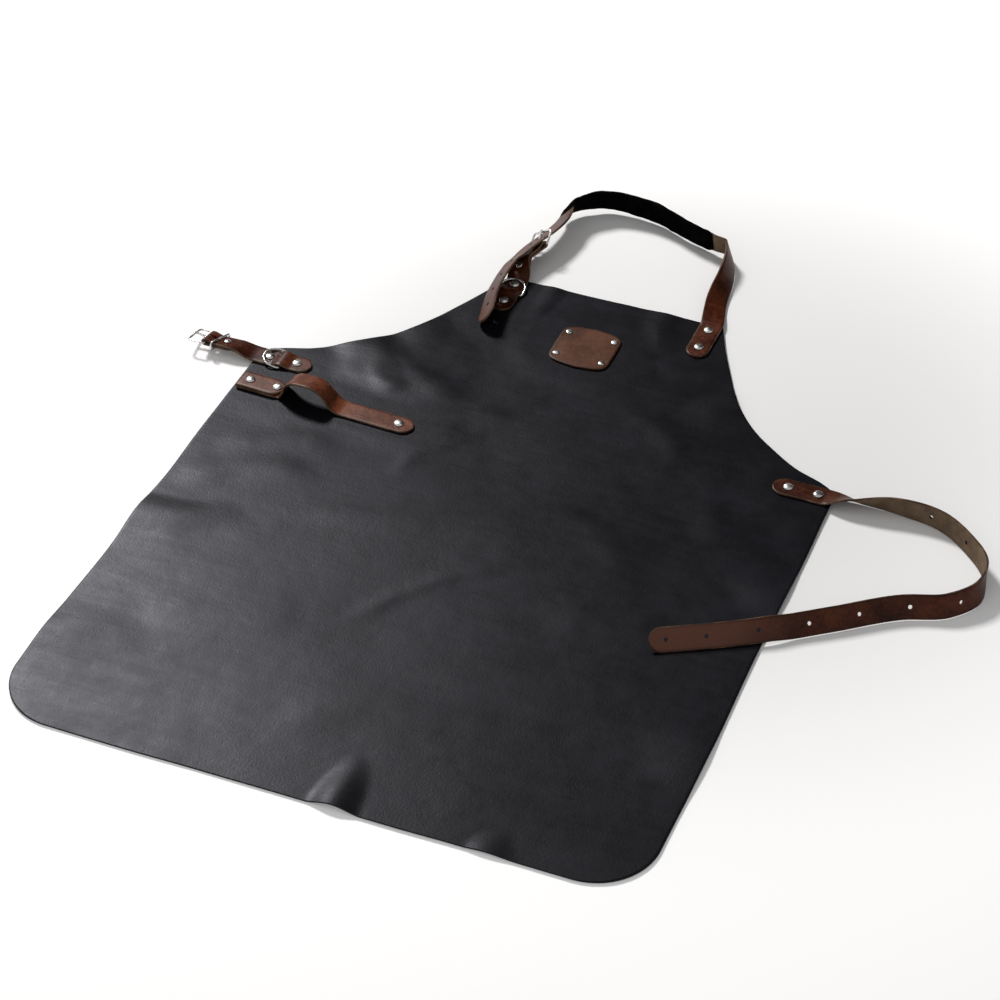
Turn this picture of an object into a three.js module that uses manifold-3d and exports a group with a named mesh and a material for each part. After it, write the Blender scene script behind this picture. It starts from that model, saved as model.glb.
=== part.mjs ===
// Leather work apron lying on a flat surface, in millimetres, +Z up.
// The origin is on that surface, under the middle of the sheet; +Y runs towards the bib.
import * as THREE from "three";
import { mergeVertices } from "three/addons/utils/BufferGeometryUtils.js";
import Module from "manifold-3d";

const wasm = await Module();
wasm.setup();

// Driving dimensions of the sheet
const SHEET_LENGTH = 848;
const SHEET_WIDTH = 677;
const WAIST_SHARE = 0.9867;
const SHEET_THICKNESS = 2.0;
const BIB_WIDTH = 260;
const SIDE_LENGTH = 618;
const CORNER_RADIUS = 66;
const BIB_CROWN = 2;
const FOLD_RISE = 10;

// Driving dimensions of the straps
const STRAP_WIDTH = 26;
const STRAP_THICKNESS = 2.6;
const NECK_FREE_LENGTH = 623;
const WAIST_FREE_LENGTH = 609;
const TAB_END = 17;
const RIVET_PITCH = 33;
const NECK_RIVET_INSET = 13;
const WAIST_RIVET_INSET = 16;
const NECK_TAB_SPREAD = 234;
const WAIST_TAB_DROP = 11;
const HOLE_RADIUS = 2.2;
const WAIST_HOLE_COUNT = 9;
const WAIST_HOLE_PITCH = 53;
const WAIST_HOLE_START = 58;
const WAIST_END_HOLE = 17;
const NECK_HOLE_COUNT = 4;
const NECK_HOLE_PITCH = 28;
const NECK_HOLE_START = 28;

// Driving dimensions of the soft pad, the loop and the patch
const PAD_WIDTH = 32;
const PAD_DEPTH = 8;
const PAD_START = 217;
const PAD_LENGTH = 211;
const LOOP_HEIGHT = 24;
const LOOP_REACH = 60;
const LOOP_TAIL = 96;
const LOOP_DROP = 60;
const LOOP_TURN = -2.2;
const LOOP_INSET = 16;
const LOOP_END = 10;
const PATCH_WIDTH = 69;
const PATCH_HEIGHT = 72;
const PATCH_CROWN = 7;
const PATCH_TAPER = 3;
const PATCH_THICKNESS = 2.2;
const PATCH_DROP = 94;
const PATCH_RIVET_ACROSS = 54;
const PATCH_RIVET_UP = 41;

// Driving dimensions of the metal parts
const CAP_RADIUS = 5.5;
const CAP_RISE = 2.2;
const SMALL_CAP_RADIUS = 4.0;
const SMALL_CAP_RISE = 1.5;
const SHANK_RADIUS = 1.6;
const BACK_CAP = 0.8;
const WIRE = 2.6;
const RING_INSIDE = 27.6;
const RING_REACH = 23;
const RING_LIFT = 11;
const BUCKLE_INSIDE = 30;
const BUCKLE_REACH = 19;
const TONGUE_WIDTH = 3.6;
const TONGUE_DEPTH = 2.2;
const WAIST_FOLD = { back: 34, rivet: 22, straight: 20 };
const NECK_FOLD = { back: 51, rivet: 42.5, straight: 24 };
const WAIST_ROLL = 14;
const WAIST_ROLL_LIFT = 3;
const KEEPER_BACK = 13;
const WAIST_BUCKLE_OUT = 74;
const NECK_BUCKLE_OUT = 74;
const CLEAR = 0.35;

// Values worked out from the driving dimensions
const HALF_WIDTH = SHEET_WIDTH / 2;
const HALF_WAIST = HALF_WIDTH * WAIST_SHARE;
const HALF_BIB = BIB_WIDTH / 2;
const HEM_Y = -SHEET_LENGTH / 2;
const WAIST_Y = HEM_Y + SIDE_LENGTH;
const BIB_Y = HEM_Y + SHEET_LENGTH;
const WIRE_RADIUS = WIRE / 2;
const SEAT_LIFT = BACK_CAP + 2 * CLEAR;
const SEAT_TOP = SEAT_LIFT + SHEET_THICKNESS;
const STRAP_SEAT = SEAT_TOP + CLEAR;
const HALF_STRAP = STRAP_WIDTH / 2;
const NECK_X = NECK_TAB_SPREAD / 2;
const NECK_RIVET_Y = BIB_Y - NECK_RIVET_INSET;
const WAIST_RIVET_X = HALF_WAIST - WAIST_RIVET_INSET;
const WAIST_TAB_Y = WAIST_Y - WAIST_TAB_DROP;
const LOOP_Y = WAIST_Y - LOOP_DROP;
const LOOP_X = -(HALF_WAIST - LOOP_INSET);
const PATCH_Y = BIB_Y - PATCH_DROP;
const SHANK_HOLE = SHANK_RADIUS + CLEAR;
const UP = new THREE.Vector3(0, 0, 1);

// Colours and surface values
const material = (color, roughness, metalness = 0) =>
  new THREE.MeshStandardMaterial({ color, roughness, metalness });
const BLACK_LEATHER = material(0x202224, 0.55);
const BROWN_LEATHER = material(0x56302a, 0.5);
const PAD_CLOTH = material(0x0b0a0b, 0.85);
const STEEL = material(0xc9c9c6, 0.28, 1);

const group = new THREE.Group();

function addMesh(name, geometry, surface) {
  const mesh = new THREE.Mesh(geometry, surface);
  mesh.name = name;
  group.add(mesh);
  return mesh;
}

// Closed geometry from a list of points and a list of faces
function closedGeometry(points, faces) {
  const geometry = new THREE.BufferGeometry();
  geometry.setAttribute("position", new THREE.Float32BufferAttribute(points.flatMap((p) => [p.x, p.y, p.z]), 3));
  geometry.setIndex(faces.flat());
  return geometry;
}

function toSolid(geometry) {
  const bare = geometry.clone();
  bare.deleteAttribute("normal");
  bare.deleteAttribute("uv");
  const merged = mergeVertices(bare, 1e-4);
  const mesh = new wasm.Mesh({
    numProp: 3,
    vertProperties: new Float32Array(merged.attributes.position.array),
    triVerts: new Uint32Array(merged.index.array),
  });
  return new wasm.Manifold(mesh);
}

function toGeometry(solid) {
  const mesh = solid.getMesh();
  const geometry = new THREE.BufferGeometry();
  geometry.setAttribute("position", new THREE.BufferAttribute(new Float32Array(mesh.vertProperties), 3));
  geometry.setIndex(new THREE.BufferAttribute(new Uint32Array(mesh.triVerts), 1));
  return geometry;
}

function cutAll(geometry, cutters) {
  return toGeometry(cutters.reduce((solid, cutter) => solid.subtract(toSolid(cutter)), toSolid(geometry)));
}

// Round cutter along an axis, centred on a point
function drill(point, axis, radius, length, sides = 8) {
  const geometry = new THREE.CylinderGeometry(radius, radius, length, sides);
  const turn = new THREE.Quaternion().setFromUnitVectors(new THREE.Vector3(0, 1, 0), axis);
  geometry.applyQuaternion(turn);
  geometry.translate(point.x, point.y, point.z);
  return geometry;
}

// Smooth curve through rows of numbers; the first two columns set the spacing of the rows
function smoothRows(rows) {
  const knots = [0];
  for (let i = 1; i < rows.length; i++) {
    knots.push(knots[i - 1] + Math.hypot(rows[i][0] - rows[i - 1][0], rows[i][1] - rows[i - 1][1]));
  }
  const slopes = rows.map((row, i) => {
    const before = Math.max(i - 1, 0);
    const after = Math.min(i + 1, rows.length - 1);
    return row.map((_, k) => {
      const total = (rows[after][k] - rows[before][k]) / (knots[after] - knots[before]);
      if (i === before || i === after) return total;
      const back = (row[k] - rows[before][k]) / (knots[i] - knots[before]);
      const front = (rows[after][k] - row[k]) / (knots[after] - knots[i]);
      const share = (knots[i] - knots[before]) / (knots[after] - knots[before]);
      return front * share + back * (1 - share);
    });
  });
  return (knot) => {
    let i = 0;
    while (i < rows.length - 2 && knot > knots[i + 1]) i++;
    const span = knots[i + 1] - knots[i];
    const t = (knot - knots[i]) / span;
    const a = 2 * t ** 3 - 3 * t ** 2 + 1;
    const b = t ** 3 - 2 * t ** 2 + t;
    const c = 3 * t ** 2 - 2 * t ** 3;
    const d = t ** 3 - t ** 2;
    return rows[i].map((v, k) =>
      a * v + b * span * slopes[i][k] + c * rows[i + 1][k] + d * span * slopes[i + 1][k]);
  };
}

// Armhole edge: across is the share of the step from bib to full width, up the share of its height
const ARMHOLE = [
  { up: 0.0, across: 1.0 },
  { up: 0.045, across: 0.92 },
  { up: 0.109, across: 0.745 },
  { up: 0.196, across: 0.6 },
  { up: 0.296, across: 0.457 },
  { up: 0.439, across: 0.3125 },
  { up: 0.674, across: 0.168 },
  { up: 0.86, across: 0.065 },
  { up: 1.0, across: 0.0 },
];

function halfWidthAt(y) {
  const fromHem = y - HEM_Y;
  if (fromHem < CORNER_RADIUS) {
    const short = CORNER_RADIUS - fromHem;
    return HALF_WIDTH - CORNER_RADIUS + Math.sqrt(Math.max(CORNER_RADIUS ** 2 - short ** 2, 0));
  }
  const side = Math.min((fromHem - CORNER_RADIUS) / (SIDE_LENGTH - CORNER_RADIUS), 1);
  if (y <= WAIST_Y) return HALF_WIDTH + (HALF_WAIST - HALF_WIDTH) * side;
  const up = Math.min((y - WAIST_Y) / (BIB_Y - WAIST_Y), 1);
  const i = Math.max(ARMHOLE.findIndex((row) => row.up >= up), 1);
  const low = ARMHOLE[i - 1];
  const high = ARMHOLE[i];
  const t = (up - low.up) / (high.up - low.up);
  return HALF_BIB + (HALF_WAIST - HALF_BIB) * (low.across + (high.across - low.across) * t);
}

// Folds of the sheet: x is a share of the half width, y of the length from the hem, turn the ridge's
// angle in degrees from +X, long and wide its half sizes as shares of the length, rise of FOLD_RISE
const FOLDS = [
  { x: 0.112, y: -0.03, turn: 100, long: 0.125, wide: 0.036, rise: 0.6 },
  { x: 0.58, y: -0.01, turn: 95, long: 0.06, wide: 0.032, rise: 0.2 },
  { x: -1.0, y: 0.375, turn: 12, long: 0.16, wide: 0.045, rise: 0.26 },
  { x: -1.0, y: 0.14, turn: 8, long: 0.15, wide: 0.06, rise: 0.22 },
  { x: 1.0, y: 0.52, turn: 170, long: 0.09, wide: 0.06, rise: 0.2 },
  { x: 1.0, y: 0.22, turn: 175, long: 0.09, wide: 0.06, rise: 0.2 },
  { x: -0.235, y: 1.0, turn: 90, long: 0.11, wide: 0.034, rise: 0.32 },
  { x: 0.2, y: 1.0, turn: 95, long: 0.12, wide: 0.05, rise: 0.25 },
  { x: -0.7, y: 0.79, turn: -50, long: 0.13, wide: 0.045, rise: 0.3 },
  { x: -0.5, y: 0.84, turn: -42, long: 0.12, wide: 0.045, rise: 0.16 },
  { x: 0.6, y: 0.86, turn: 215, long: 0.1, wide: 0.045, rise: 0.25 },
];

// Seats where the sheet is flat and held up by the rivets' back caps
const SEATS = [
  { x0: -NECK_X, y0: NECK_RIVET_Y - RIVET_PITCH - TAB_END, x1: -NECK_X, y1: BIB_Y, reach: HALF_STRAP },
  { x0: NECK_X, y0: NECK_RIVET_Y - RIVET_PITCH - TAB_END, x1: NECK_X, y1: BIB_Y, reach: HALF_STRAP },
  { x0: -HALF_WAIST, y0: WAIST_TAB_Y, x1: -WAIST_RIVET_X + RIVET_PITCH, y1: WAIST_TAB_Y, reach: HALF_STRAP },
  { x0: HALF_WAIST, y0: WAIST_TAB_Y, x1: WAIST_RIVET_X - RIVET_PITCH, y1: WAIST_TAB_Y, reach: HALF_STRAP },
  { x0: LOOP_X, y0: LOOP_Y, x1: LOOP_X + RIVET_PITCH + LOOP_REACH + LOOP_TAIL, y1: LOOP_Y, reach: HALF_STRAP },
  { x0: -PATCH_WIDTH / 4, y0: PATCH_Y, x1: PATCH_WIDTH / 4, y1: PATCH_Y, reach: PATCH_HEIGHT / 2 },
];
const SEAT_MARGIN = 14;
const SEAT_FALL = 34;

function seatShare(x, y) {
  return SEATS.reduce((best, seat) => {
    const dx = seat.x1 - seat.x0;
    const dy = seat.y1 - seat.y0;
    const t = ((x - seat.x0) * dx + (y - seat.y0) * dy) / (dx * dx + dy * dy);
    const near = Math.min(Math.max(t, 0), 1);
    const away = Math.hypot(x - seat.x0 - near * dx, y - seat.y0 - near * dy) - seat.reach - SEAT_MARGIN;
    return Math.max(best, 1 - THREE.MathUtils.smoothstep(away, 0, SEAT_FALL));
  }, 0);
}

// Height of the sheet's underside
function undersideAt(x, y) {
  const folds = FOLDS.reduce((sum, fold) => {
    const dx = x - fold.x * HALF_WIDTH;
    const dy = y - HEM_Y - fold.y * SHEET_LENGTH;
    const turn = THREE.MathUtils.degToRad(fold.turn);
    const along = (dx * Math.cos(turn) + dy * Math.sin(turn)) / (fold.long * SHEET_LENGTH);
    const aside = (dy * Math.cos(turn) - dx * Math.sin(turn)) / (fold.wide * SHEET_LENGTH);
    const far = along ** 2 + aside ** 2;
    return far < 1 ? sum + fold.rise * FOLD_RISE * (1 - far) ** 2 : sum;
  }, 0);
  const seat = seatShare(x, y);
  return folds * (1 - seat) + SEAT_LIFT * seat;
}

// Rows and columns of the sheet's grid
const COLUMNS = 24;
const CORNER_ROWS = 5;
const SKIRT_ROWS = 20;
const BIB_ROWS = 12;

function sheetRows() {
  const rows = [];
  for (let i = 0; i < CORNER_ROWS; i++) {
    rows.push(HEM_Y + CORNER_RADIUS * (1 - Math.cos((i / CORNER_ROWS) * Math.PI / 2)));
  }
  const skirt = SIDE_LENGTH - CORNER_RADIUS;
  for (let i = 0; i < SKIRT_ROWS; i++) rows.push(HEM_Y + CORNER_RADIUS + (skirt * i) / SKIRT_ROWS);
  for (let i = 0; i <= BIB_ROWS; i++) {
    rows.push(WAIST_Y + (BIB_Y - WAIST_Y) * (i / BIB_ROWS) ** 1.5);
  }
  return rows;
}

function apronBody() {
  const rows = sheetRows();
  const points = [];
  const faces = [];
  const across = COLUMNS + 1;
  const at = (side, i, j) => (side * rows.length + i) * across + j;
  for (const top of [0, SHEET_THICKNESS]) {
    for (const y of rows) {
      for (let j = 0; j < across; j++) {
        const u = (2 * j) / COLUMNS - 1;
        const x = u * halfWidthAt(y);
        const bibShare = THREE.MathUtils.smoothstep(y, WAIST_Y, BIB_Y);
        const crowned = y + BIB_CROWN * bibShare * (1 - u * u);
        points.push(new THREE.Vector3(x, crowned, undersideAt(x, crowned) + top));
      }
    }
  }
  const quad = (a, b, c, d) => faces.push([a, b, c], [a, c, d]);
  for (let i = 0; i < rows.length - 1; i++) {
    for (let j = 0; j < COLUMNS; j++) {
      quad(at(1, i, j), at(1, i, j + 1), at(1, i + 1, j + 1), at(1, i + 1, j));
      quad(at(0, i, j), at(0, i + 1, j), at(0, i + 1, j + 1), at(0, i, j + 1));
    }
    quad(at(0, i, 0), at(1, i, 0), at(1, i + 1, 0), at(0, i + 1, 0));
    quad(at(0, i, COLUMNS), at(0, i + 1, COLUMNS), at(1, i + 1, COLUMNS), at(1, i, COLUMNS));
  }
  const last = rows.length - 1;
  for (let j = 0; j < COLUMNS; j++) {
    quad(at(0, 0, j), at(0, 0, j + 1), at(1, 0, j + 1), at(1, 0, j));
    quad(at(0, last, j), at(1, last, j), at(1, last, j + 1), at(0, last, j + 1));
  }
  return closedGeometry(points, faces);
}

// Strap station: centre, width direction, half width, face direction
function station(centre, across, half, face) {
  return { centre, across, half, face };
}

// Flat strap lofted through its stations
function strapGeometry(stations, thickness = STRAP_THICKNESS) {
  const points = [];
  const faces = [];
  for (const { centre, across, half, face } of stations) {
    for (const [a, n] of [[-1, -1], [1, -1], [1, 1], [-1, 1]]) {
      const point = centre.clone().addScaledVector(across, a * half);
      points.push(point.addScaledVector(face, (n * thickness) / 2));
    }
  }
  for (let i = 0; i < stations.length - 1; i++) {
    for (let k = 0; k < 4; k++) {
      const a = 4 * i + k;
      const b = 4 * i + ((k + 1) % 4);
      faces.push([a, b, b + 4], [a, b + 4, a + 4]);
    }
  }
  const end = 4 * (stations.length - 1);
  faces.push([0, 3, 2], [0, 2, 1]);
  faces.push([end, end + 1, end + 2], [end, end + 2, end + 3]);
  const ahead = stations[1].centre.clone().sub(stations[0].centre);
  const first = stations[0];
  const outward = new THREE.Vector3().crossVectors(first.across, first.face).dot(ahead) > 0;
  return closedGeometry(points, outward ? faces : faces.map(([a, b, c]) => [a, c, b]));
}

// Distances along a strap with close steps in its rounded ends
const END_STEPS = 4;
function stepsAlong(length, step, roundStart, roundEnd) {
  const ends = [];
  for (let i = 0; i <= END_STEPS; i++) {
    ends.push(HALF_STRAP * (1 - Math.cos((i / END_STEPS) * Math.PI / 2)));
  }
  const from = roundStart ? ends : [0];
  const to = roundEnd ? ends.map((d) => length - d).reverse() : [length];
  const start = from[from.length - 1];
  const gap = to[0] - start;
  const count = Math.max(Math.round(gap / step), 1);
  const middle = [];
  for (let i = 1; i < count; i++) middle.push(start + (gap * i) / count);
  return [...from, ...middle, ...to];
}

const BLUNT = 0.16;
function endHalf(distance) {
  if (distance >= HALF_STRAP) return HALF_STRAP;
  const short = HALF_STRAP - distance;
  return Math.max(Math.sqrt(HALF_STRAP ** 2 - short ** 2), BLUNT * HALF_STRAP);
}

// Height that a strap's lower edge keeps above what lies below it
function floorAt(x, y) {
  const outside = Math.max(Math.abs(x) - halfWidthAt(y), y - BIB_Y, HEM_Y - y);
  const over = 1 - THREE.MathUtils.smoothstep(outside, 4, 30);
  return CLEAR + over * (undersideAt(x, y) + SHEET_THICKNESS);
}

// Long strap: a flat tab on the sheet, then a free run that twists onto its edge and turns.
// Rows give the track of the lower edge in shares of the free length, ahead of the first rivet and
// aside towards the turn; low is its height as a share of the strap's width, lean the twist in degrees
function longStrap({ anchor, ahead, aside, rows, freeLength }) {
  const tabLength = RIVET_PITCH + TAB_END;
  const scaled = rows.map((row) => [row.ahead * freeLength, row.aside * freeLength, row.low, row.lean]);
  const curve = smoothRows([[-tabLength, 0, 0, 0], ...scaled]);
  let reach = tabLength;
  for (let i = 1; i < scaled.length; i++) {
    reach += Math.hypot(scaled[i][0] - scaled[i - 1][0], scaled[i][1] - scaled[i - 1][1]);
  }
  const place = (knot) => {
    const [p, q, low, lean] = knot <= tabLength ? [knot - tabLength, 0, 0, 0] : curve(knot);
    const edge = anchor.clone().addScaledVector(ahead, p).addScaledVector(aside, q);
    const tilt = THREE.MathUtils.degToRad(lean);
    edge.z = floorAt(edge.x, edge.y) + low * STRAP_WIDTH + (STRAP_THICKNESS / 2) * Math.abs(Math.cos(tilt));
    return { edge, tilt };
  };
  const DENSE = 600;
  const samples = [];
  for (let i = 0; i <= DENSE; i++) samples.push(place((reach * i) / DENSE));
  const handed = Math.sign(new THREE.Vector3().crossVectors(ahead, aside).z);
  samples.forEach((sample, i) => {
    const next = samples[Math.min(i + 1, DENSE)].edge;
    const before = samples[Math.max(i - 1, 0)].edge;
    const heading = next.clone().sub(before).setZ(0).normalize();
    const side = new THREE.Vector3(-heading.y * handed, heading.x * handed, 0);
    sample.across = side.multiplyScalar(Math.cos(sample.tilt)).addScaledVector(UP, Math.sin(sample.tilt));
    sample.centre = sample.edge.clone().addScaledVector(sample.across, HALF_STRAP);
    const slope = next.clone().sub(before).normalize();
    sample.face = new THREE.Vector3().crossVectors(slope, sample.across).multiplyScalar(handed).normalize();
    sample.run = i === 0 ? 0 : samples[i - 1].run + sample.centre.distanceTo(samples[i - 1].centre);
  });
  const length = samples[DENSE].run;
  const at = (run) => {
    let i = 1;
    while (i < DENSE && samples[i].run < run) i++;
    const a = samples[i - 1];
    const b = samples[i];
    const t = Math.min(Math.max((run - a.run) / (b.run - a.run), 0), 1);
    const mix = (key) => a[key].clone().lerp(b[key], t);
    return { centre: mix("centre"), across: mix("across").normalize(), face: mix("face").normalize() };
  };
  return { at, length, tabLength };
}

function longStrapGeometry(strap, step) {
  const stations = stepsAlong(strap.length, step, true, true).map((run) => {
    const { centre, across, face } = strap.at(run);
    return station(centre, across, endHalf(Math.min(run, strap.length - run)), face);
  });
  return strapGeometry(stations);
}

const WAIST_ROWS = [
  { ahead: 0.0, aside: 0.0, low: 0.0, lean: 0 },
  { ahead: 0.013, aside: 0.0, low: 0.0, lean: 0 },
  { ahead: 0.0665, aside: 0.005, low: 0.0, lean: 41 },
  { ahead: 0.142, aside: 0.009, low: 0.0, lean: 79 },
  { ahead: 0.218, aside: 0.0235, low: 0.0, lean: 92 },
  { ahead: 0.278, aside: 0.066, low: 0.0, lean: 96 },
  { ahead: 0.3225, aside: 0.1225, low: 0.0, lean: 94 },
  { ahead: 0.3314, aside: 0.181, low: 0.0, lean: 73 },
  { ahead: 0.2947, aside: 0.234, low: 0.0, lean: 62 },
  { ahead: 0.2235, aside: 0.2685, low: 0.0, lean: 54 },
  { ahead: 0.1305, aside: 0.337, low: 0.0, lean: 51 },
  { ahead: 0.008, aside: 0.425, low: 0.0, lean: 45 },
  { ahead: -0.1323, aside: 0.506, low: 0.0, lean: 42 },
];

const NECK_ROWS = [
  { ahead: 0.0, aside: 0.0, low: 0.0, lean: 0 },
  { ahead: 0.013, aside: 0.0, low: 0.0, lean: 0 },
  { ahead: 0.093, aside: 0.018, low: 0.03, lean: 32 },
  { ahead: 0.168, aside: 0.03, low: 0.06, lean: 54 },
  { ahead: 0.216, aside: 0.047, low: 0.12, lean: 69 },
  { ahead: 0.2355, aside: 0.06, low: 0.18, lean: 75 },
  { ahead: 0.239, aside: 0.087, low: 0.21, lean: 79 },
  { ahead: 0.2575, aside: 0.146, low: 0.21, lean: 80 },
  { ahead: 0.2935, aside: 0.2425, low: 0.21, lean: 82 },
  { ahead: 0.288, aside: 0.34, low: 0.26, lean: 74 },
  { ahead: 0.241, aside: 0.388, low: 0.34, lean: 59 },
  { ahead: 0.192, aside: 0.394, low: 0.42, lean: 39 },
  { ahead: 0.149, aside: 0.402, low: 0.46, lean: 36 },
  { ahead: 0.104, aside: 0.417, low: 0.44, lean: 37 },
  { ahead: 0.043, aside: 0.43, low: 0.32, lean: 42 },
  { ahead: -0.0379, aside: 0.431, low: 0.2, lean: 48 },
  { ahead: -0.1458, aside: 0.412, low: 0.1, lean: 50 },
];

const waistStrap = longStrap({
  anchor: new THREE.Vector3(WAIST_RIVET_X, WAIST_TAB_Y + HALF_STRAP, 0),
  ahead: new THREE.Vector3(1, 0, 0),
  aside: new THREE.Vector3(0, -1, 0),
  rows: WAIST_ROWS,
  freeLength: WAIST_FREE_LENGTH,
});

const neckStrap = longStrap({
  anchor: new THREE.Vector3(NECK_X + HALF_STRAP, NECK_RIVET_Y, 0),
  ahead: new THREE.Vector3(0, 1, 0),
  aside: new THREE.Vector3(-1, 0, 0),
  rows: NECK_ROWS,
  freeLength: NECK_FREE_LENGTH,
});

const RIVET_SIDES = 8;

// Rivet: domed cap, shank and back cap in one, standing on a point at the underside of its stack
function rivetGeometry(base, axis, stack, capRadius, capRise) {
  const seat = stack + CLEAR;
  const profile = [
    [0, -CLEAR - BACK_CAP],
    [capRadius * 0.85, -CLEAR - BACK_CAP],
    [capRadius * 0.85, -CLEAR],
    [SHANK_RADIUS, -CLEAR],
    [SHANK_RADIUS, seat],
    [capRadius, seat],
    [capRadius * 0.7, seat + capRise * 0.72],
    [0, seat + capRise],
  ];
  const geometry = new THREE.LatheGeometry(profile.map(([r, h]) => new THREE.Vector2(r, h)), RIVET_SIDES);
  geometry.applyQuaternion(new THREE.Quaternion().setFromUnitVectors(new THREE.Vector3(0, 1, 0), axis));
  geometry.translate(base.x, base.y, base.z);
  return geometry;
}

// Closed geometry turned the right way out
function faceOut(geometry) {
  const position = geometry.attributes.position;
  const index = geometry.index.array;
  const corner = (k) => new THREE.Vector3().fromBufferAttribute(position, index[k]);
  let volume = 0;
  for (let k = 0; k < index.length; k += 3) {
    volume += corner(k).dot(corner(k + 1).cross(corner(k + 2)));
  }
  if (volume < 0) {
    const turned = [];
    for (let k = 0; k < index.length; k += 3) turned.push(index[k], index[k + 2], index[k + 1]);
    geometry.setIndex(turned);
  }
  return geometry;
}

// Wire bent into a flat closed loop; the outline is given ahead and across in the frame
function wireLoop(outline, frame, radius, sides = 6) {
  const { origin, ahead, across, face } = frame;
  const centres = outline.map(([a, c]) => origin.clone().addScaledVector(ahead, a).addScaledVector(across, c));
  const count = centres.length;
  const points = [];
  const faces = [];
  centres.forEach((centre, i) => {
    const along = centres[(i + 1) % count].clone().sub(centres[(i + count - 1) % count]).normalize();
    const outward = new THREE.Vector3().crossVectors(along, face).normalize();
    for (let k = 0; k < sides; k++) {
      const angle = ((k + 0.5) / sides) * 2 * Math.PI;
      const point = centre.clone().addScaledVector(outward, radius * Math.cos(angle));
      points.push(point.addScaledVector(face, radius * Math.sin(angle)));
    }
    for (let k = 0; k < sides; k++) {
      const a = i * sides + k;
      const b = i * sides + ((k + 1) % sides);
      const c = ((i + 1) % count) * sides + ((k + 1) % sides);
      const d = ((i + 1) % count) * sides + k;
      faces.push([a, b, c], [a, c, d]);
    }
  });
  return faceOut(closedGeometry(points, faces));
}

// Outline with rounded corners: each corner is [ahead, across, radius, steps]
function roundedOutline(corners) {
  const outline = [];
  const count = corners.length;
  corners.forEach(([a, c, radius, steps], i) => {
    const [pa, pc] = corners[(i + count - 1) % count];
    const [na, nc] = corners[(i + 1) % count];
    const corner = new THREE.Vector2(a, c);
    const before = new THREE.Vector2(pa - a, pc - c).normalize();
    const after = new THREE.Vector2(na - a, nc - c).normalize();
    const middle = corner.clone().addScaledVector(before, radius).addScaledVector(after, radius);
    for (let k = 0; k <= steps; k++) {
      const angle = ((k / steps) * Math.PI) / 2;
      const point = middle.clone().addScaledVector(after, -radius * Math.cos(angle));
      outline.push(point.addScaledVector(before, -radius * Math.sin(angle)).toArray());
    }
  });
  return outline;
}

// Frame turned about its across axis, so that what lies ahead rises
function pitched(frame, degrees) {
  const turn = THREE.MathUtils.degToRad(degrees);
  const ahead = frame.ahead.clone().multiplyScalar(Math.cos(turn)).addScaledVector(frame.face, Math.sin(turn));
  const face = frame.face.clone().multiplyScalar(Math.cos(turn)).addScaledVector(frame.ahead, -Math.sin(turn));
  return { ...frame, ahead, face };
}

// Frame rolled about its ahead axis, so that its across side sinks
function rolled(frame, degrees) {
  const turn = THREE.MathUtils.degToRad(degrees);
  const across = frame.across.clone().multiplyScalar(Math.cos(turn)).addScaledVector(frame.face, -Math.sin(turn));
  const face = frame.face.clone().multiplyScalar(Math.cos(turn)).addScaledVector(frame.across, Math.sin(turn));
  return { ...frame, across, face };
}

function moved(frame, ahead, across, face) {
  const origin = frame.origin.clone().addScaledVector(frame.ahead, ahead);
  origin.addScaledVector(frame.across, across).addScaledVector(frame.face, face);
  return { ...frame, origin };
}

// Sizes shared by the folded buckle straps, their buckles and their rings
const RIVET_NEAR = TAB_END;
const RIVET_FAR = TAB_END + RIVET_PITCH;
const RING_BAR = TAB_END + RIVET_PITCH / 2;
const HUMP_RISE = WIRE + 1.5 * CLEAR;
const HUMP_HALF = 12;
const HUMP_STEPS = 6;
const FOLD_STEPS = 6;
const FOLD_RADIUS = WIRE_RADIUS + CLEAR + STRAP_THICKNESS / 2;
const BAR_HEIGHT = STRAP_THICKNESS / 2 + FOLD_RADIUS;
const FOLD_EASE = 12;
const FOLD_CLIMB = 26;
const TWIST_START = 0.2;
const BUCKLE_HALF = BUCKLE_INSIDE / 2 + WIRE_RADIUS;
const RING_HALF = RING_INSIDE / 2 + WIRE_RADIUS;
const SLOT_HALF = 10;
const TWO_LAYERS = 2 * STRAP_THICKNESS + CLEAR;
const KEEPER_WIRE = 2.4;
const KEEPER_YAW = 12;

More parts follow.
